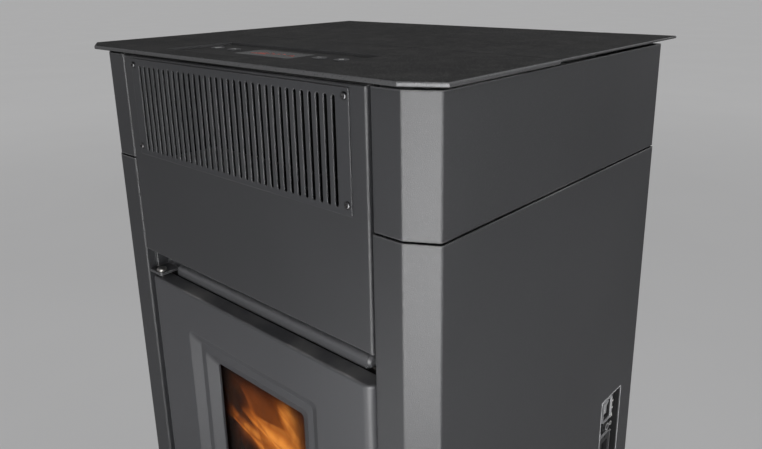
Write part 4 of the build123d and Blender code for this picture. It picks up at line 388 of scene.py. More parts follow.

# %% [markdown]
# ## The painted pieces
#
# One kind of coat covers most of the stove, in several tones: the casing, the slightly lighter
# cast door, the grille and the rail; a near-black one is painted shade on the duct behind the
# grille and on the frame under the top plate. They differ in base tone, grain and gloss, so one
# function makes them all. Flakes brighten the tone and lower the roughness where they lie, worn
# edges are paler, and a trace of ash greys what faces up. On the casing and the door the paler
# edges are turned up as a painted highlight along the folds, and on the door the ash is turned
# up as painted light on its shaded top face.

# %% Powder coats
def powder_coat(
    name, tone, roughness, grain, depth, wear=0.35, dust=0.10, gloss=0.5, reach=0.0015
):
    """A coat of one tone, which is its linear colour."""
    tree = new_material(name)
    skin = use(tree, coat_grain, Grain_Size=grain, Drift_Size=0.3)
    worn_and_highlit = use(tree, edge_wear, Reach=reach, Patch_Size=0.12)
    ash = use(tree, settled_dust, Patch_Size=0.05)
    colour = mix(skin["Drift"], scaled(tone, 0.92), scaled(tone, 1.08))
    colour = cover(colour, skin["Flake"], 0.35, scaled(tone, 2.2, 0.02))
    # Paler edges: wear, and on the casing and the door also a painted highlight along the folds.
    colour = cover(colour, worn_and_highlit["Mask"], wear, (0.26, 0.26, 0.265))
    # Paler upward faces: ash dust, and on the door also painted light that lifts its shaded top.
    colour = cover(colour, ash["Mask"], dust, (0.30, 0.29, 0.28))
    rough = minus(roughness, times(skin["Flake"], 0.12))
    rough = plus(rough, times(ash["Mask"], 0.2))
    finish(
        colour, rough, skin["Height"], depth, worn_and_highlit["Rounded"], Metallic=0.0,
        Specular_IOR_Level=gloss,
    )


# The casing's high edge share and wide reach paint a highlight along its folds.
powder_coat(
    "casing_coat", (0.025, 0.0254, 0.0275), 0.42, 0.0007, 0.00009,
    wear=0.6, gloss=0.66, reach=0.0026,
)
# The door's high edge and dust shares paint a highlight on its edges and light on its shaded top.
powder_coat(
    "door_coat", (0.042, 0.0425, 0.046), 0.40, 0.0006, 0.00007, wear=0.8, dust=0.35, gloss=0.66
)
# Near-black painted shade: it darkens the duct seen through the grille's slots and the frame in
# the gap under the top plate.
powder_coat("painted_shade_black", (0.006, 0.006, 0.006), 0.8, 0.0009, 0.00006, gloss=0.1)
powder_coat("grille_coat", (0.027, 0.0275, 0.030), 0.42, 0.0006, 0.00007, gloss=0.6)
powder_coat("rail_coat", (0.085, 0.086, 0.091), 0.34, 0.0006, 0.00007, gloss=0.7)
print("coats:", list(FINISHES))

# %% [markdown]
# ## The top plates
#
# The plate and the lid have a much coarser, almost black coat, like fine sand. Seen nearly
# edge-on, it stays dark and sparkles with tiny pale points. So it is very rough, barely mirrors,
# and its grain is a millimetre wide with single bright grains. Its cut edges are smoother, and
# their tone is painted paler as a painted highlight, so they show as a thin light line.

# %% Sand-textured plate coat
tree = new_material("plate_coat")
sand = use(tree, coat_grain, Grain_Size=0.0011, Drift_Size=0.2)
worn_and_highlit = use(tree, edge_wear, Reach=0.0012, Patch_Size=0.02)
ash = use(tree, settled_dust, Patch_Size=0.02)
tone = mix(sand["Drift"], (0.017, 0.017, 0.0175), (0.023, 0.023, 0.0235))
tone = cover(tone, sand["Flake"], 0.55, (0.16, 0.16, 0.16))
tone = cover(tone, worn_and_highlit["Mask"], 0.5, (0.17, 0.17, 0.175))
tone = cover(tone, ash["Mask"], 0.05, (0.3, 0.29, 0.27))
true_normal = source(tree, "NewGeometry")["True Normal"]
facing_up = add("SeparateXYZ", {0: true_normal}).outputs["Z"]
side_face = ramp(math_node("ABSOLUTE", facing_up), 0.9, 0.5)
# Painted highlight: the side faces are painted much paler than the top; they are also smoother and
# partly metallic.
tone = mix(side_face, tone, (0.105, 0.105, 0.108))
rough = minus(0.85, times(sand["Flake"], 0.3))
rough = minus(rough, times(side_face, 0.45), clamp=True)
finish(
    tone, rough, sand["Height"], 0.00012, worn_and_highlit["Rounded"],
    Metallic=times(side_face, 0.55), Specular_IOR_Level=0.18,
)
print("plate coat is made")

# %% [markdown]
# ## Bare and zinc-coated steel
#
# Small turned and cut pieces are bare steel with brush lines and a few brown specks of rust.
# Inner sheets are zinc-coated: the zinc freezes into flat crystals, each a little lighter or
# darker. Voronoi cells have exactly that form, and their random colour gives each its tone.

# %% Bare steel and zinc
def steel(name, tone, roughness, along_x=0.01, along_z=1.0, rust=0.25):
    tree = new_material(name)
    lines = use(tree, brush_lines, Line_Width=0.0004, Along_X=along_x, Along_Z=along_z)
    worn_and_highlit = use(tree, edge_wear, Reach=0.0006, Patch_Size=0.01)
    specks = use(tree, soot_heat, Reach=0.1, Patch_Size=0.006)
    colour = mix(lines["Streak"], scaled(tone, 0.75), tone)
    colour = cover(colour, specks["Soot"], rust, (0.10, 0.055, 0.03))
    colour = cover(colour, worn_and_highlit["Mask"], 0.5, (0.75, 0.74, 0.72))
    rough = plus(roughness, times(lines["Streak"], 0.15))
    finish(colour, rough, lines["Height"], 0.00004, Metallic=1.0)


steel("bare_steel", (0.50, 0.49, 0.47), 0.30)
steel("dark_screw", (0.17, 0.17, 0.175), 0.24, rust=0.1)
steel("handle_metal", (0.38, 0.375, 0.37), 0.30, along_x=1.0, along_z=0.01, rust=0.0)
steel("cast_aluminium", (0.55, 0.55, 0.56), 0.42, along_x=0.2, along_z=0.2, rust=0.0)

tree = new_material("galvanised")
cells = add("TexVoronoi", {"Vector": places(tree), "Scale": 70.0})
cell_tone = add("SeparateColor", {0: cells.outputs["Color"]}).outputs[0]
clouds = use(tree, soot_heat, Reach=0.2, Patch_Size=0.08)
ash = use(tree, settled_dust, Patch_Size=0.04)
tone = mix(cell_tone, (0.34, 0.35, 0.36), (0.56, 0.57, 0.58))
tone = cover(tone, clouds["Soot"], 0.25, (0.25, 0.25, 0.25))
tone = cover(tone, ash["Mask"], 0.5, (0.30, 0.27, 0.24))
rough = ramp(cell_tone, 0.0, 1.0, 0.34, 0.52)
finish(tone, rough, cell_tone, 0.00003, Metallic=0.9)
print("steels and zinc are made")

# %% [markdown]
# ## Metal near the fire
#
# The firebox is painted with a matt stove paint that the heat has browned, and soot lies over
# it. The burn pot is cast iron, scaled and grey with ash. The back of the firebox is a pressed
# board of mica grains, pale near the fire and sooty away from it.

# %% Hot steel, cast iron and lining
def hot_metal(name, cold, hot, soot, roughness, grain, depth, metallic):
    tree = new_material(name)
    skin = use(tree, coat_grain, Grain_Size=grain, Drift_Size=0.08)
    fire = use(tree, soot_heat, Reach=0.26, Patch_Size=0.05)
    ash = use(tree, settled_dust, Patch_Size=0.015)
    colour = mix(skin["Drift"], cold, scaled(cold, 1.3))
    colour = mix(fire["Heat"], colour, hot)
    colour = cover(colour, fire["Soot"], soot, (0.012, 0.011, 0.011))
    colour = cover(colour, ash["Mask"], 0.6, (0.33, 0.30, 0.27))
    rough = plus(roughness, times(fire["Soot"], 0.2))
    finish(colour, rough, skin["Height"], depth, Metallic=metallic)


hot_metal("hot_steel", (0.030, 0.028, 0.027), (0.10, 0.052, 0.030), 0.6, 0.6, 0.0008, 0.00008, 0.3)
hot_metal("cast_pot", (0.055, 0.05, 0.048), (0.22, 0.15, 0.11), 0.35, 0.75, 0.0016, 0.0003, 0.4)
hot_metal("lining", (0.26, 0.19, 0.12), (0.52, 0.40, 0.26), 0.7, 0.9, 0.0022, 0.0005, 0.0)
print("hot pieces are made")

# %% [markdown]
# ## Plastic, rubber, rope and glass
#
# Moulded plastic has a fine spark-eroded grain, rubber a duller one with dust in it. Rope, tape
# and printed ink are made by the same function with no gloss to speak of. The door glass is a
# ceramic pane that stays clear in the middle and browns along its edges, where the air that
# washes it is slow.

# %% Plastics, rubber, rope and ink
def moulded(name, tone, roughness, grain, depth, dust=0.15, gloss=0.5):
    tree = new_material(name)
    skin = use(tree, coat_grain, Grain_Size=grain, Drift_Size=0.05)
    worn_and_highlit = use(tree, edge_wear, Reach=0.0005, Patch_Size=0.01)
    ash = use(tree, settled_dust, Patch_Size=0.01)
    colour = mix(skin["Drift"], tone, scaled(tone, 1.25, 0.002))
    colour = cover(colour, worn_and_highlit["Mask"], 0.3, (0.12, 0.12, 0.12))
    colour = cover(colour, ash["Mask"], dust, (0.3, 0.28, 0.26))
    rough = plus(roughness, times(skin["Flake"], 0.15))
    finish(colour, rough, skin["Height"], depth, Specular_IOR_Level=gloss)


moulded("black_plastic", (0.016, 0.016, 0.017), 0.42, 0.0005, 0.00003)
moulded("button_plastic", (0.05, 0.051, 0.054), 0.5, 0.0005, 0.00002, dust=0.05, gloss=0.3)
moulded("rubber", (0.02, 0.02, 0.02), 0.75, 0.0009, 0.00006, dust=0.5)
moulded("motor_black", (0.024, 0.024, 0.026), 0.5, 0.0008, 0.00006, dust=0.4)
moulded("display_glass", (0.008, 0.009, 0.010), 0.22, 0.004, 0.0, dust=0.06, gloss=0.2)
moulded("panel_plastic", (0.009, 0.009, 0.0095), 0.62, 0.0006, 0.00004, dust=0.05, gloss=0.2)
moulded("rope", (0.17, 0.16, 0.15), 0.95, 0.0009, 0.0003, dust=0.3)
moulded("glass_tape", (0.50, 0.47, 0.42), 0.95, 0.0007, 0.0002, dust=0.2)
moulded("switch_grey", (0.30, 0.302, 0.31), 0.36, 0.0005, 0.00002, dust=0.05)
moulded("white_ink", (0.60, 0.60, 0.59), 0.6, 0.0004, 0.00001, dust=0.05, gloss=0.2)
moulded("digit_ink", (0.55, 0.07, 0.04), 0.6, 0.0004, 0.00001, dust=0.0, gloss=0.2)
print("finishes so far:", len(FINISHES))

# %% Door glass
GLASS_CLEAR = (0.93, 0.90, 0.87)
GLASS_SMOKED = (0.10, 0.055, 0.03)
pane_low, pane_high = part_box("door_glass")
pane_mid = (pane_low + pane_high) / 2
pane_half = (pane_high - pane_low) / 2

tree = new_material("fire_glass")
spot = add("SeparateXYZ", {0: places(tree)}).outputs


def inside(axis, middle, half):
    """How far a point lies inside the pane's two edges along an axis."""
    return minus(half, math_node("ABSOLUTE", minus(spot[axis], middle)))


side_gap = inside("X", pane_mid.x, pane_half.x)
end_gap = inside("Z", pane_mid.z, pane_half.z)
smear = noise(places(tree, (1.0, 1.0, 0.35)), 45.0, 5.0)
uneven = plus(math_node("MINIMUM", side_gap, end_gap), times(smear, 0.02))
smoked = ramp(uneven, 0.050, 0.022)
finish(
    mix(smoked, GLASS_CLEAR, GLASS_SMOKED), ramp(smoked, 0.0, 1.0, 0.03, 0.25),
    Transmission_Weight=1.0, Metallic=0.0, IOR=1.12, Specular_IOR_Level=0.3,
)
print("glass pane is", [round(v, 3) for v in pane_high - pane_low])

# %% [markdown]
# ## Dressing the imported pieces
#
# Each imported piece names the slot that it takes its finish from, and the materials above carry
# the same names, so one loop dresses the whole stove. A few pieces look better in another
# finish: the duct behind the grille and the frame under the top plate take a near-black painted
# shade, which is what makes the grille's slots and the gap under the plate dark.

# %% Dress every node
# The duct and the frame under the top plate take the near-black painted shade.
OTHER_FINISH = {
    "air_duct": "painted_shade_black", "top_frame": "painted_shade_black", "door_hinge_brackets": "casing_coat",
    "grille_screws": "dark_screw", "rocker_switch": "switch_grey",
    "control_panel": "panel_plastic", "service_pan": "panel_plastic",
}
for name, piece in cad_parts.items():
    for holder in piece.material_slots:
        usual = holder.material.name.split(".")[0]
        holder.material = FINISHES[OTHER_FINISH.get(name, usual)]
print("dressed", len(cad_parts), "pieces with", len(FINISHES), "finishes")

# %% [markdown]
# ## Building shapes
#
# Every added piece is made of points and faces in code. Most are rings or rows of points with
# bands of faces between them, so a few helpers serve them all. A piece that belongs to the stove
# rides on a body, and so goes where that body goes.

# %% Mesh helpers
def mesh_piece(name, points, faces, material, body=None, slot=None, smooth=True):
    """A mesh object from points in metres and faces as index lists."""
    mesh = bpy.data.meshes.new(name)
    mesh.from_pydata([tuple(p) for p in points], [], faces)
    mesh.materials.append(FINISHES[material])
    mesh.polygons.foreach_set("use_smooth", [smooth] * len(mesh.polygons))
    piece = bpy.data.objects.new(name, mesh)
    scene.collection.objects.link(piece)
    if body:
        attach(piece, body)
    return piece


def sheet_piece(name, points, marks, rows, columns, material, body):
    """One or more sheets, whose points carry their places across and up them, from 0 to 1."""
    row = columns + 1
    size = row * (rows + 1)
    faces = [
        (a, a + 1, a + row + 1, a + row)
        for first in range(0, len(points), size)
        for i in range(rows) for j in range(columns) for a in [first + i * row + j]
    ]
    piece = mesh_piece(name, points, faces, material, body)
    layer = piece.data.uv_layers.new(name="blade")
    for loop in piece.data.loops:
        layer.data[loop.index].uv = marks[loop.vertex_index]
    return piece


def circle(sides):
    """The cosine and sine of each corner of a regular polygon."""
    angles = (2 * math.pi * k / sides for k in range(sides))
    return [(math.cos(angle), math.sin(angle)) for angle in angles]


def bands(rings, sides, closed=False):
    """Faces between rings of points; closed joins the last ring to the first."""
    faces = []
    for i in range(rings if closed else rings - 1):
        a, b = i * sides, (i + 1) % rings * sides
        for k in range(sides):
            j = (k + 1) % sides
            faces.append((a + k, a + j, b + j, b + k))
    return faces


def capped(rings, sides):
    """The same with a face over each end."""
    last = (rings - 1) * sides
    return [tuple(range(sides))[::-1], tuple(range(last, last + sides))] + bands(rings, sides)


def closed_tube(rings):
    points = [p for ring in rings for p in ring]
    return points, bands(len(rings), len(rings[0]), closed=True)


def joined(parts):
    """The points and faces of several parts as one."""
    points, faces = [], []
    for p, f in parts:
        faces += [tuple(index + len(points) for index in face) for face in f]
        points += p
    return points, faces


print("mesh helpers are ready")

# %% [markdown]
# ## The floor and the room
#
# The stove stands on a plain pale floor that runs to the horizon, in a pale room that looks
# brighter than the light it gives. The floor also matters to the casing: every upright plane,
# seen from above, mirrors it. Most boxes spare the floor, as they would leave hot patches on it.

# %% Floor and room
tree = new_material("floor_paint")
cloud = noise(places(tree), 1.5, 4.0)
looking = source(tree, "LightPath")["Is Camera Ray"]
far_off = add("VectorMath", {0: places(tree)}, operation="LENGTH").outputs["Value"]
haze = ramp(far_off, 0.8, 6.0, 0.17, 0.28)
finish(
    mix(cloud, (0.52, 0.52, 0.525), (0.58, 0.58, 0.585)), 0.8,
    Specular_IOR_Level=0.2, Emission_Color=(1.0, 1.0, 1.0),
    Emission_Strength=times(looking, haze),
)
FLOOR_REACH = 60.0
floor_corners = [
    (x * FLOOR_REACH, y * FLOOR_REACH, 0) for x, y in ((-1, -1), (1, -1), (1, 1), (-1, 1))
]
floor = mesh_piece("floor", floor_corners, [(0, 1, 2, 3)], "floor_paint")

spared = bpy.data.collections.new("not_lit_by_sparing_boxes")
spared.objects.link(floor)
spared.collection_objects[0].light_linking.link_state = "EXCLUDE"
for box in sparing_boxes:
    box.light_linking.receiver_collection = spared

SURROUND = 0.225
SEEN_WALL = 0.42
world = scene.world = bpy.data.worlds.new("pale_room")
world.use_nodes = True
looking = source(world.node_tree, "LightPath")["Is Camera Ray"]
seen = add("MapRange", {"Value": looking, "To Min": SURROUND, "To Max": SEEN_WALL})
backdrop = world.node_tree.nodes["Background"].inputs
fill(backdrop["Strength"], seen.outputs["Result"])
fill(backdrop["Color"], (0.99, 0.99, 1.0))
print("floor reaches", FLOOR_REACH, "m each way")

# %% [markdown]
# ## Fire
#
# A flame is a thin glowing sheet of soot, brightest low in its middle and ragged at its edge.
# A solid body with a glow would look like wax, so each tongue is two crossed, curved blades.
# Their alpha fades to the sides and the tip by the blade's own coordinates, and a noise that is
# stretched upward tears them. Some lean to the glass and to the left, as the draught pulls them.
# They ride with the pot, so a lifted pot takes its fire along.

# %% Flame materials
def flame_finish(name, dark, middle, bright, core_alpha):
    """Three glows from the ragged edge to the core."""
    tree = new_material(name)
    sheet = add("SeparateXYZ", {0: source(tree, "TexCoord")["UV"]}).outputs
    off_middle = math_node("ABSOLUTE", minus(sheet["X"], 0.5))
    licks = noise(places(tree, (1.0, 1.0, 0.22)), 34.0, 3.0, distortion=0.9)
    torn = times(minus(licks, 0.5), 0.9)
    patchy = plus(times(torn, 1.3), 0.85)
    body = times(ramp(off_middle, 0.5, -0.04), patchy)
    tip = ramp(plus(sheet["Y"], torn), 1.0, 0.45)
    foot = ramp(sheet["Y"], 0.0, 0.08)
    density = times(times(body, tip, clamp=True), foot, clamp=True)
    glow = mix(ramp(density, 0.10, 0.50), dark, middle)
    glow = mix(ramp(density, 0.45, 0.95), glow, bright)
    finish(
        (0.0, 0.0, 0.0), 1.0, Emission_Color=glow, Emission_Strength=1.0,
        Alpha=ramp(density, 0.03, 0.9, 0.0, core_alpha), Specular_IOR_Level=0.0,
    )
    FINISHES[name].cycles.emission_sampling = "NONE"


flame_finish("flame", (0.11, 0.020, 0.002), (0.47, 0.120, 0.014), (1.02, 0.385, 0.065), 0.80)
flame_finish("flame_haze", (0.09, 0.016, 0.002), (0.24, 0.055, 0.006), (0.36, 0.095, 0.012), 0.62)
# The shade and the veil are painted shade: dull red glows that dim the fire seen behind them.
flame_finish(
    "flame_shade", (0.045, 0.010, 0.003), (0.062, 0.014, 0.004), (0.070, 0.017, 0.005), 0.92
)
flame_finish("flame_top_shade", (0.060, 0.012, 0.003), (0.085, 0.018, 0.004), (0.10, 0.022, 0.005), 0.5)
flame_finish("smoke", (0.004, 0.002, 0.001), (0.006, 0.004, 0.003), (0.010, 0.006, 0.004), 0.85)
print("flame finishes are made")

# %% Flame tongues
BLADE_ROWS, BLADE_COLUMNS = 22, 8


def flame_blade(foot, bend, tip, width, turn, seed):
    """Points and their marks of one curved blade that follows a bent line."""
    phase = random.Random(seed).uniform(0, 6.3)
    points, marks = [], []
    for i in range(BLADE_ROWS + 1):
        t = i / BLADE_ROWS
        middle = foot * (1 - t) ** 2 + bend * 2 * t * (1 - t) + tip * t ** 2
        half = width * (0.35 + 0.65 * math.sin(math.pi * min(1, t * 1.35 + 0.12))) * (1 - t ** 3)
        angle = turn + 0.3 * t + 0.12 * math.sin(phase + 5 * t)
        side = Vector((math.cos(angle), math.sin(angle), 0))
        out = Vector((-side.y, side.x, 0))
        for j in range(BLADE_COLUMNS + 1):
            u = j / BLADE_COLUMNS
            s = 2 * u - 1
            curl = 0.35 * half * (1 - s * s) + 0.004 * math.sin(phase + 9 * t + 3 * s)
            points.append(middle + side * s * half + out * curl)
            marks.append((u, t))
    return points, marks


# Each kind has its name, material, body, blades, first seed and step of the seed. Each tongue
# of it is in millimetres from the middle of the pot's rim: foot, bend, tip and half width, and
# the turn of its first blade in degrees. The first flames lean to the glass and to the left.
# The wisps are dark smoke that curls up before them, close behind the pane.
TONGUES = {
    ("flame", "flame", "pot", 2, 0, 10): [
        ((-34, -34, -18), (-100, -96, 26), (-158, -110, 124), 40, 53),
        ((-36, -18, -18), (-104, -74, 34), (-156, -88, 104), 38, 40),
        ((-24, -30, -20), (-66, -98, 54), (-118, -114, 150), 34, 62),
        ((-20, -12, -20), (-70, -60, 74), (-124, -84, 170), 36, 30),
        ((-26, -14, -20), (-70, -52, 70), (-96, -84, 140), 26, 50),
        ((-24, 16, -20), (-76, 10, 80), (-86, -26, 176), 30, 70),
        ((10, 14, -18), (0, 14, 50), (-24, 0, 110), 20, 10),
        ((-38, 6, -18), (-104, -8, 50), (-138, -40, 112), 30, 45),
        ((-4, 8, -22), (-30, 0, 90), (-62, -24, 184), 24, 0),
    ],
    ("haze", "flame_haze", "pot", 2, 200, 1): [
        ((-30, -30, -14), (-90, -84, 60), (-142, -96, 190), 90, 53),
        ((-20, 10, -14), (-40, -16, 90), (-96, -44, 205), 58, 35),
    ],
    ("wisp", "smoke", "casing", 1, 300, 1): [
        ((-84, -116, 0), (-92, -120, 50), (-74, -122, 96), 12, 20),
        ((-62, -118, -10), (-70, -122, 40), (-58, -124, 84), 8, 15),
    ],
}
EMBERS = FIRE - Vector((0, 0, 20 * MM))
for (kind, look, body, blades, first_seed, step), tongues in TONGUES.items():
    for number, (foot_at, bend_at, tip_at, half_width, turned) in enumerate(tongues):
        ends = [FIRE + Vector(p) * MM for p in (foot_at, bend_at, tip_at)]
        seed = first_seed + step * number
        points, marks = [], []
        for k in range(blades):
            turn = math.radians(turned) + k * math.pi / 2
            p, m = flame_blade(*ends, half_width * MM, turn, seed + k)
            points += p
            marks += m
        name = f"{kind}_{number + 1}"
        piece = sheet_piece(name, points, marks, BLADE_ROWS, BLADE_COLUMNS, look, body)
        if body == "pot":
            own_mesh(piece)

# %% Painted shade behind the pane
VEIL_BACK = 124                # from the middle of the pot forward to the sheets
VEIL_ROWS, VEIL_COLUMNS = 10, 14


def veil(name, middle_x, half_x, top, bottom, material):
    """A dull red sheet of painted shade that dims the fire behind it, hanging from the top close
    behind the pane, in millimetres from FIRE.
    """
    points, marks = [], []
    for i in range(VEIL_ROWS + 1):
        for j in range(VEIL_COLUMNS + 1):
            u, t = j / VEIL_COLUMNS, i / VEIL_ROWS
            sway = 4 * math.sin(5 * u + 4 * t)
            x, z = middle_x + (2 * u - 1) * half_x, top + (bottom - top) * t
            points.append(FIRE + Vector((x, sway - VEIL_BACK, z)) * MM)
            marks.append((u, t))
    sheet_piece(name, points, marks, VEIL_ROWS, VEIL_COLUMNS, material, "casing")


# Painted shade: one sheet darkens the right of the window, the other its top.
veil("veil_right", 54, 50, 238, 76, "flame_shade")
veil("veil_top", -22, 112, 206, 118, "flame_top_shade")
print("kinds of tongue:", [kind[0] for kind in TONGUES], "from", round(EMBERS.z, 3), "m up")

# %% [markdown]
# ## Light from the fire
#
# The blades glow, but thin sheets make grainy light, so two warm lamps inside the firebox
# stand for it: one over the pot and one at its front left, where the flames lean.

# %% Fire lamps
for name, place, watts, radius in (
    ("pot_lamp", (-0.02, -0.02, 0.08), 0.8, 0.04),
    ("lean_lamp", (-0.07, -0.06, 0.07), 0.35, 0.03),
):
    warm = {"color": (1.0, 0.40, 0.10), "shadow_soft_size": radius}
    lamp(name, "POINT", FIRE + Vector(place), watts, **warm).visible_glossy = False
print("two lamps light the firebox")

# %% [markdown]
# ## Pellets
#
# Pellets are pressed sawdust rods, 6 mm thick and 8 to 20 mm long, shiny brown with cracked
# ends. The hopper holds a heap of them and a few dozen burn in the pot. Each is an eight-sided
# rod with a bevelled, broken end, laid at a seeded angle; one mesh holds a whole heap.

# %% Pellet, ember and ash materials
tree = new_material("wood_pellet")
grain = noise(places(tree), 900.0, 4.0)
lump = noise(places(tree), 130.0, 1.0)
tone = mix(ramp(lump, 0.3, 0.7), (0.22, 0.115, 0.05), (0.47, 0.30, 0.155))
tone = mix(ramp(grain, 0.55, 0.75), tone, (0.13, 0.07, 0.03))
finish(tone, ramp(grain, 0.3, 0.7, 0.4, 0.7), grain, 0.0002)

tree = new_material("ember")
coal = noise(places(tree), 210.0, 3.0)
hot = ramp(coal, 0.42, 0.62)
finish(
    mix(hot, (0.03, 0.025, 0.022), (0.30, 0.10, 0.03)), 0.9, coal, 0.0006,
    Emission_Color=mix(hot, (0.10, 0.008, 0.0), (1.0, 0.24, 0.03)), Emission_Strength=1.6,
)

tree = new_material("ash_powder")
flakes = noise(places(tree), 260.0, 6.0)
finish(mix(flakes, (0.16, 0.15, 0.14), (0.50, 0.47, 0.43)), 0.95, flakes, 0.0012)
print("pellet, ember and ash finishes are made")

# %% Heaps and beds
PELLET_R = 0.003


def pellet(chance, centre, tilt):
    """Points and faces of one pellet round its centre."""
    sides = 8
    half = chance.uniform(0.004, 0.010)
    turn = Matrix.Rotation(chance.uniform(0, 6.3), 3, "Z") @ Matrix.Rotation(
        math.pi / 2 + chance.uniform(-tilt, tilt), 3, "X"
    )
    bevel = 0.0007
    rings = ((-half, 0.8), (-half + bevel, 1.0), (half - bevel, 1.0), (half, 0.8))
    points = []
    for z, share in rings:
        for c, s in circle(sides):
            rough = chance.uniform(-0.0004, 0.0004) if share < 1 else 0
            local = Vector((c, s, 0)) * PELLET_R * share
            points.append(centre + turn @ (local + Vector((0, 0, z + rough))))
    return points, capped(len(rings), sides)


def heap(name, count, low, high, level, tilt, material, body, seed):
    """Pellets strewn between two corners; level(x, y) gives the height under each."""
    chance = random.Random(seed)

    def strewn():
        for _ in range(count):
            x = chance.uniform(low.x, high.x)
            y = chance.uniform(low.y, high.y)
            centre = Vector((x, y, level(x, y) + chance.uniform(0, 2.2 * PELLET_R)))
            yield pellet(chance, centre, tilt)

    mesh_piece(name, *joined(strewn()), material, body)


def mound(name, low, high, level, material, body, cells=36):
    """A closed bed with a wavy upper face between two corners, down to the lower one."""
    points, faces = [], []
    row = cells + 1
    for i in range(row):
        for j in range(row):
            x = low.x + (high.x - low.x) * i / cells
            y = low.y + (high.y - low.y) * j / cells
            points.append(Vector((x, y, level(x, y))))
    points += [Vector((p.x, p.y, low.z)) for p in points]
    under = row * row
    for i in range(cells):
        for j in range(cells):
            a = i * row + j
            faces.append((a, a + row, a + row + 1, a + 1))
            faces.append((under + a, under + a + 1, under + a + row + 1, under + a + row))
    rim = [(i, 0) for i in range(cells)] + [(cells, j) for j in range(cells)]
    rim += [(i, cells) for i in range(cells, 0, -1)] + [(0, j) for j in range(cells, 0, -1)]
    order = [i * row + j for i, j in rim]
    for a, b in zip(order, order[1:] + order[:1]):
        faces.append((a, under + a, under + b, b))
    mesh_piece(name, points, faces, material, body)


print("a pellet has", len(capped(4, 8)), "faces")

# %% Pellets in the hopper and embers in the pot
BIN_MARGIN = 0.004
HEAP_MARGIN = Vector((0.01, 0.01, 0))
HEAP_LEVEL = 0.905
POT_INSIDE = Vector((0.044, 0.044, 0))
POT_FLOOR = 0.004
grid_low, grid_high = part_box("hopper_grid")
bin_low = Vector((grid_low.x + BIN_MARGIN, grid_low.y + BIN_MARGIN, grid_high.z + MM))
bin_high = Vector((grid_high.x - BIN_MARGIN, grid_high.y - BIN_MARGIN, 0))
bed_low = Vector((*(FIRE - POT_INSIDE).xy, pot_low.z + POT_FLOOR))


def pellet_level(x, y):
    """The heap dips over the spout and is rough by half a pellet."""
    middle = (bin_low.y + bin_high.y) / 2
    dip = math.hypot(x / 0.15, (y - middle) / 0.10)
    return HEAP_LEVEL + 0.010 * min(1.6, dip) + 0.0012 * math.sin(310 * x) * math.sin(290 * y)


def ember_level(x, y):
    off = math.hypot(x - FIRE.x, y - FIRE.y) / 0.045
    return EMBERS.z - 0.012 * off * off


mound("hopper_heap", bin_low, bin_high, pellet_level, "wood_pellet", "casing")
heap(
    "hopper_pellets", 1500, bin_low + HEAP_MARGIN, bin_high - HEAP_MARGIN, pellet_level, 0.35,
    "wood_pellet", "casing", seed=3,
)
mound("ember_bed", bed_low, FIRE + POT_INSIDE, ember_level, "ember", "pot", cells=18)
heap(
    "burning_pellets", 90, FIRE - POT_INSIDE * 0.85, FIRE + POT_INSIDE * 0.85, ember_level, 0.5,
    "ember", "pot", seed=5,
)
print("pellets in the hopper at", round(pellet_level(0, 0.09), 3), "m")

# %% [markdown]
# ## Ash
#
# Ash drifts against the walls of the firebox and lies in the drawer under it. Both are closed
# beds with a wavy face, low at the walls and never quite level.

# %% Ash in the firebox and the drawer
DRAWER_ASH_HALF = 0.150
TRAY_FLOOR = 0.0235            # above the tray's lowest point
FRONT_GAP, BACK_GAP = 0.006, 0.012
support_low, support_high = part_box("burn_pot_support")
lining_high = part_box("firebox_lining")[1]
tray_low, tray_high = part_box("ash_drawer_tray")


def drift_level(x, y):
    """Highest beside the pot's support, and rippled."""
    beside = max(0.0, 1 - (abs(x) - support_high.x) / 0.085)
    return support_low.z + 0.0015 + 0.008 * beside ** 2 + 0.0008 * math.sin(140 * x + 90 * y)


def tray_ash_level(x, y):
    """A cone under the pot, over a low rippled bed."""
    off = math.hypot(x / 0.11, (y - FIRE.y) / 0.12)
    ripple = 0.0015 * math.sin(95 * x + 2) * math.sin(80 * y)
    return tray_low.z + 0.030 + 0.026 * math.exp(-off * off) + ripple


for side, word in ((-1, "left"), (1, "right")):
    near, far = side * (support_high.x + 0.003), side * (lining_high.x - 0.005)
    mound(
        f"ash_drift_{word}",
        Vector((min(near, far), support_low.y + 0.01, support_low.z + 0.0003)),
        Vector((max(near, far), lining_high.y - 0.02, 0)),
        drift_level, "ash_powder", "casing", cells=24,
    )
mound(
    "drawer_ash", Vector((-DRAWER_ASH_HALF, tray_low.y + FRONT_GAP, tray_low.z + TRAY_FLOOR)),
    Vector((DRAWER_ASH_HALF, tray_high.y - BACK_GAP, 0)), tray_ash_level,
    "ash_powder", "drawer", cells=40,
)
print("ash lies in the drawer up to", round(tray_ash_level(0, FIRE.y), 3), "m")

# %% [markdown]
# ## Door rope and glass tape
#
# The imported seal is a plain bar. The real one is a braided glass-fibre rope: eight strands, four
# each way round, that pass over and under each other. Each strand is a thin tube along a helix
# whose radius swings in and out once per crossing. The tape between glass and door is flat and
# ribbed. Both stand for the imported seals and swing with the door.

# %% Braided rope and ribbed tape
def rounded_loop(centre, half_x, half_z, corner, step):
    """Points and outward normals along a rounded rectangle that stands upright."""
    spots = []
    quarters = ((1, 1, 0), (-1, 1, 90), (-1, -1, 180), (1, -1, 270))
    for sx, sz, start in quarters:
        middle = Vector((sx * (half_x - corner), 0, sz * (half_z - corner)))
        for k in range(9):
            angle = math.radians(start + 90 * k / 8)
            out = Vector((math.cos(angle), 0, math.sin(angle)))
            spots.append((centre + middle + out * corner, out))
    loop = []
    for (p, n), (q, m) in zip(spots, spots[1:] + spots[:1]):
        count = max(1, round((q - p).length / step))
        loop += [(p.lerp(q, k / count), n.lerp(m, k / count).normalized()) for k in range(count)]
    return loop


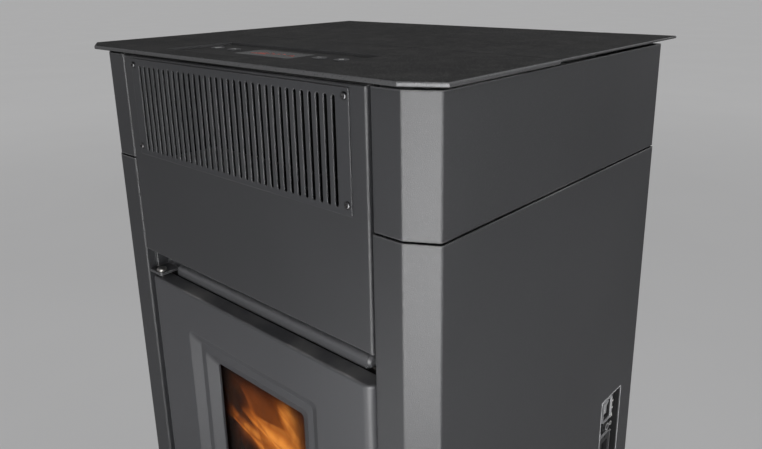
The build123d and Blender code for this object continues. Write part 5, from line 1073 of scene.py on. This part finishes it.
STRANDS = 4                    # each way round
STRAND_R = 0.0011
WEAVE = 0.0004                 # how far a strand swings in and out
ROPE_R = 0.0040
ROPE_TURNS = 62
TAPE_W = 0.008
TAPE_T = 0.00045
TAPE_GAP = 0.00005
BACKWARD = Vector((0, 1, 0))


def rope_strand(loop, way, number):
    middle_r = ROPE_R - STRAND_R - WEAVE
    rings = []
    for i, (spot, out) in enumerate(loop):
        winding = 2 * math.pi * ROPE_TURNS * i / len(loop)
        angle = way * winding + 2 * math.pi * number / STRANDS
        weave = WEAVE * way * math.cos(STRANDS * winding)
        radial = out * math.cos(angle) + BACKWARD * math.sin(angle)
        forward = out.cross(BACKWARD)
        around = radial.cross(forward)
        along = (forward * 0.8 + around * way * 0.6).normalized()
        across = along.cross(radial)
        middle = spot + radial * (middle_r + weave)
        rings.append([
            middle + (radial * c * 0.75 + across * s * 1.3) * STRAND_R for c, s in circle(5)
        ])
    return closed_tube(rings)


seal_low, seal_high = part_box("door_seals")
seal_mid = (seal_low + seal_high) / 2
rope_middle = Vector((seal_mid.x, seal_high.y - ROPE_R, seal_mid.z))
rope_half_z = (seal_high.z - seal_low.z) / 2 - ROPE_R
rope_path = rounded_loop(rope_middle, seal_high.x - ROPE_R, rope_half_z, 0.012, 0.0016)
strands = [rope_strand(rope_path, way, number) for way in (1, -1) for number in range(STRANDS)]
door_rope = mesh_piece("door_rope", *joined(strands), "rope")

tape_middle = Vector((pane_mid.x, pane_low.y - TAPE_T - TAPE_GAP, pane_mid.z))
tape_path = rounded_loop(
    tape_middle, pane_half.x - TAPE_W / 2, pane_half.z - TAPE_W / 2, 0.006, 0.0012
)
rings = []
for i, (spot, out) in enumerate(tape_path):
    thick = TAPE_T * (0.75 + 0.25 * math.cos(math.pi * i))
    corners = ((-1, -1), (1, -1), (1, 1), (-1, 1))
    rings.append([spot + out * a * TAPE_W / 2 + BACKWARD * b * thick for a, b in corners])
glass_tape = mesh_piece("glass_tape", *closed_tube(rings), "glass_tape", smooth=False)
for seal in (door_rope, glass_tape):
    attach(seal, "door")
    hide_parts("door_seals")
print("rope:", len(door_rope.data.vertices), "points in", len(strands), "strands")

# %% [markdown]
# ## Small screws
#
# The rear panels are held by dome-headed screws with a cross recess. One lathe-like function
# makes a head; the recess is pressed into the dome's own points, so that the light really falls
# into it.

# %% Screw heads
def screw_head(centre, axis, radius, turn):
    """Points and faces of one dome head with a cross pressed into it."""
    to_axis = axis.to_track_quat("Z", "Y").to_matrix() @ Matrix.Rotation(turn, 3, "Z")
    sides, rows = 32, 10
    tall, arm, arm_half, sunk = (radius * share for share in (0.55, 0.55, 0.13, 0.32))
    points = []
    for i in range(rows + 1):
        share = 1 - i / rows
        for c, s in circle(sides):
            x, y = radius * share * c, radius * share * s
            z = tall * math.sqrt(max(0.0, 1 - (0.98 * share) ** 2))
            if min(abs(x), abs(y)) < arm_half and max(abs(x), abs(y)) < arm:
                z -= sunk * (1 - share)
            points.append(centre + to_axis @ Vector((x, y, z)))
    return points, capped(rows + 1, sides)


REAR_FACE = 0.2260
REAR_JOINT = 0.560             # between the upper and the lower rear panel
BESIDE_JOINT = (REAR_JOINT - 0.016, REAR_JOINT + 0.016)
FROM_EDGE = 0.009
rear_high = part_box("rear_panel")[1]
edge_x = rear_high.x - FROM_EDGE
edge_rows = (0.060, 0.190, 0.320, 0.450, *BESIDE_JOINT, 0.690, 0.820, 0.930)
spots = [(side * edge_x, z) for side in (-1, 1) for z in edge_rows]
spots += [(x, z) for x in (-0.13, 0.0, 0.13) for z in BESIDE_JOINT]
spots += [(x, 0.985) for x in (-0.13, 0.0, 0.13)]
spots += [(x, 0.054) for x in (-0.19, -0.06, 0.06, 0.20)]
chance = random.Random(21)
heads = [
    screw_head(Vector((x, REAR_FACE, z)), BACKWARD, 0.0036, chance.uniform(0, 1.5))
    for x, z in spots
]
mesh_piece("rear_panel_screws", *joined(heads), "bare_steel", "casing", "bare_steel")
print("screws on the rear panels:", len(spots))

# %% [markdown]
# ## Printed marks
#
# The keys, the display, the rocker and the fuse carry plain marks: plus, minus, arrows, a ring
# with a bar, 0 and I, and a small number. Each mark is a film a tenth of a millimetre thick, made
# of bars and arcs in the plane of its piece, and it moves with that piece.

# %% Mark helpers
def bar(x0, y0, x1, y1, width):
    """A straight stroke as one four-cornered outline, in millimetres."""
    along = Vector((x1 - x0, y1 - y0)).normalized()
    side = Vector((-along.y, along.x)) * width / 2
    a, b = Vector((x0, y0)), Vector((x1, y1))
    return [[a + side, a - side, b - side, b + side]]


def arc(radius, width, start=0, end=360, count=20, at=(0, 0)):
    """A round stroke from start to end, in degrees."""
    cuts = [math.radians(start + (end - start) * k / count) for k in range(count + 1)]
    inner, outer = radius - width / 2, radius + width / 2
    outlines = []
    for a, b in zip(cuts, cuts[1:]):
        corners = ((inner, a), (outer, a), (outer, b), (inner, b))
        outlines.append(
            [Vector((at[0] + r * math.cos(t), at[1] + r * math.sin(t))) for r, t in corners]
        )
    return outlines


def mark(name, outlines, origin, right, up, material, body, slot, thick=0.0001):
    """Film on a plane: outlines are in millimetres along right and up from the origin."""
    right, up = Vector(right).normalized(), Vector(up).normalized()
    out = right.cross(up)
    films = []
    for outline in outlines:
        flat = [Vector(origin) + right * p.x * MM + up * p.y * MM for p in outline]
        films.append((flat + [p + out * thick for p in flat], capped(2, len(flat))))
    mesh_piece(name, *joined(films), material, body, slot, smooth=False)


def top_middle(node):
    low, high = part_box(node)
    return Vector(((low.x + high.x) / 2, (low.y + high.y) / 2, high.z))


print("mark helpers are ready")

# %% Marks on keys and display
X_AXIS, Y_AXIS, Z_AXIS = (1, 0, 0), (0, 1, 0), (0, 0, 1)
KEY_MARKS = {
    1: arc(3.2, 0.8, 125, 415) + bar(0, 1.2, 0, 4.6, 0.8),
    2: bar(-3.2, -1.6, 0, 2.0, 0.9) + bar(0, 2.0, 3.2, -1.6, 0.9),
    3: bar(-3.4, 0, 3.4, 0, 0.9),
    4: bar(-3.4, 0, 3.4, 0, 0.9) + bar(0, 0.45, 0, 3.4, 0.9) + bar(0, -3.4, 0, -0.45, 0.9),
}
for number, outlines in KEY_MARKS.items():
    mark(
        f"key_mark_{number}", outlines, top_middle(f"button_{number}"), X_AXIS, Y_AXIS,
        "white_ink", f"key_{number}", "button_plastic",
    )

SEGMENTS = {
    "a": (-1, 2, 1, 2), "b": (1, 2, 1, 0), "c": (1, 0, 1, -2), "d": (-1, -2, 1, -2),
    "e": (-1, 0, -1, -2), "g": (-1, 0, 1, 0),
}
SEGMENT_SIZE = 3.0
SHRINK = 0.14                  # what a bar leaves free at each end, as a share
SLANT = 0.12


def digit(lit, x, y):
    """A slanted figure of bars, with its middle at x, y."""
    outlines = []
    for name in lit:
        x0, y0, x1, y1 = (SEGMENT_SIZE * v for v in SEGMENTS[name])
        ends = (
            x + x0 + (x1 - x0) * SHRINK + SLANT * y0, y + y0 + (y1 - y0) * SHRINK,
            x + x1 - (x1 - x0) * SHRINK + SLANT * y1, y + y1 - (y1 - y0) * SHRINK,
        )
        outlines += bar(*ends, 1.1)
    return outlines


figures = digit("abged", -7, -2) + digit("bc", 3, -2) + arc(1.4, 0.7, at=(13, 3))
for k in range(5):
    figures += bar(-30 + 4 * k, -8, -30 + 4 * k, -5 + 2 * k, 1.6)
figures += bar(26, -6, 31, 2, 1.0) + bar(31, 2, 36, -6, 1.0) + bar(27.5, -3.2, 34.5, -3.2, 1.0)
mark(
    "display_figures", figures, top_middle("display_window"), X_AXIS, Y_AXIS,
    "digit_ink", "casing", "display_glass", 0.00005,
)
print("marks on", len(KEY_MARKS), "keys and the display")

# %% Marks on the rocker
rocker_low, rocker_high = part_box("rocker_switch")
rocker_y = (rocker_low.y + rocker_high.y) / 2
rocker_z = (rocker_low.z + rocker_high.z) / 2
ROCKER_TIP = math.radians(8.0)
PIN_DEPTH, PIN_RISE = 4.02 * MM, 0.15 * MM    # from the rocker's outermost point and its middle
rocker_pin = Vector((rocker_high.x - PIN_DEPTH, rocker_y, rocker_z + PIN_RISE))


def on_rocker(out, up):
    """A point of the rocker's outline, tipped as it stands at rest."""
    c, s = math.cos(ROCKER_TIP), math.sin(ROCKER_TIP)
    return rocker_pin + MM * Vector((out * c + up * s, 0, up * c - out * s))


for name, outlines, low, high in (
    ("rocker_mark_on", bar(0, -2.2, 0, 2.2, 0.9), (1.4, 0), (2.6, 10.4)),
    ("rocker_mark_off", arc(2.0, 0.8), (2.6, -10.4), (1.4, 0)),
):
    foot, head = on_rocker(*low), on_rocker(*high)
    mark(
        name, outlines, foot.lerp(head, 0.5), Y_AXIS, head - foot,
        "white_ink", "rocker", "black_plastic",
    )
print("the rocker is tipped by", round(math.degrees(ROCKER_TIP)), "degrees")

# %% [markdown]
# ## The service recess
#
# The recess in the right side holds the switch, the mains inlet and the fuse. A thin raised trim
# goes round its mouth, the switch and the inlet, and plain printed marks stand beside them. The
# light grey rim round the mouth is a painted highlight along the recess's edge.

# %% Trims and marks in the service recess
RECESS_FACE = 0.2620
SIDE_FACE = 0.27
TRIM_GAP = 0.00005
SWITCH_Z, INLET_Z, FUSE_Z = 0.514, 0.452, 0.488
SWITCH_TRIM, INLET_TRIM = 0.00415, 0.00295
pan_low, pan_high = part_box("service_pan")
pan_mid = (pan_low + pan_high) / 2


def frame_ring(name, y, z, half_y, half_z, width, foot, tall, corner):
    """A raised rectangular trim, open in its middle; width is in millimetres."""
    crest = foot + tall
    section = ((0, foot), (width, foot), (width * 0.8, crest), (width * 0.2, crest))
    rings = []
    for a, (sy, sz) in enumerate(((1, 1), (-1, 1), (-1, -1), (1, -1))):
        for k in range(5):
            angle = math.radians(90 * a + 90 * k / 4)
            c, s = math.cos(angle), math.sin(angle)
            rings.append([
                Vector((
                    x, y + sy * (half_y - corner) + c * (corner + grow * MM),
                    z + sz * (half_z - corner) + s * (corner + grow * MM),
                ))
                for grow, x in section
            ])
    mesh_piece(name, *closed_tube(rings), "switch_grey", "casing", "black_plastic", smooth=False)


inner = RECESS_FACE + TRIM_GAP
for ring in (
    ("switch_bezel", rocker_y, SWITCH_Z, 0.0117, 0.0157, 1.3, inner, SWITCH_TRIM, 0.0016),
    # A painted highlight: the light grey rim stands for the bright line along the recess's edge.
    ("recess_highlight_rim", pan_mid.y, pan_mid.z, 0.0275, 0.0750, 1.5, SIDE_FACE, 0.0004, 0.0012),
    ("inlet_bezel", rocker_y, INLET_Z, 0.0152, 0.0212, 0.9, inner, INLET_TRIM, 0.004),
):
    frame_ring(*ring)

# Two bars, a square, a ring and a plus stand in a column beside the fittings, from the top down.
MARKS_Y = 22.5
printed = bar(19, 62, 26.5, 62, 2.2) + bar(19, 51, 26.5, 51, 2.2)
printed += bar(MARKS_Y - 2.8, 40, MARKS_Y + 2.8, 40, 5.6) + arc(2.6, 1.0, at=(MARKS_Y, 27))
printed += bar(19, 14, 26, 14, 1.0) + bar(MARKS_Y, 10, MARKS_Y, 18, 1.0)
inlet_spot = (RECESS_FACE, rocker_y, INLET_Z)
mark("recess_marks", printed, inlet_spot, Y_AXIS, Z_AXIS, "white_ink", "casing", "black_plastic")
fuse_spot = (RECESS_FACE + 0.00505, rocker_y, FUSE_Z)
mark(
    "fuse_ring", arc(4.4, 1.4), fuse_spot, Y_AXIS, Z_AXIS,
    "switch_grey", "casing", "black_plastic",
)
print("the switch's trim is", round(SWITCH_TRIM / MM, 2), "mm high")

# %% [markdown]
# ## The rail's ends
#
# The rounded bar over the door is a tube; a domed plug closes each end.

# %% Rail plugs
RAIL_HALF = 0.171
RAIL_MIDDLE = (0.007, 0.0075)  # of the tube, behind and above the rail's lowest front corner
# The plug's section as radius and distance from the rail's end, in millimetres.
PLUG = (
    (0.0, 0.0), (6.9, 0.0), (6.9, 1.0), (6.2, 1.6), (5.6, 3.2), (4.2, 4.6), (2.2, 5.4), (0.0, 5.7)
)
PLUG_SIDES = 28
rail_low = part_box("door_rail")[0]
rail_middle = Vector((0, *(rail_low.yz + Vector(RAIL_MIDDLE))))

for side, word in ((-1, "left"), (1, "right")):
    points = []
    for radius, out in PLUG:
        for c, s in circle(PLUG_SIDES):
            swing = Vector((0, c, s)) * max(radius, 0.05) * MM
            points.append(rail_middle + Vector((side * (RAIL_HALF + out * MM), 0, 0)) + swing)
    faces = bands(len(PLUG), PLUG_SIDES)
    mesh_piece(f"rail_plug_{word}", points, faces, "rail_coat", "casing", "rail_coat")
print("rail plugs at x =", -RAIL_HALF, "and", RAIL_HALF)
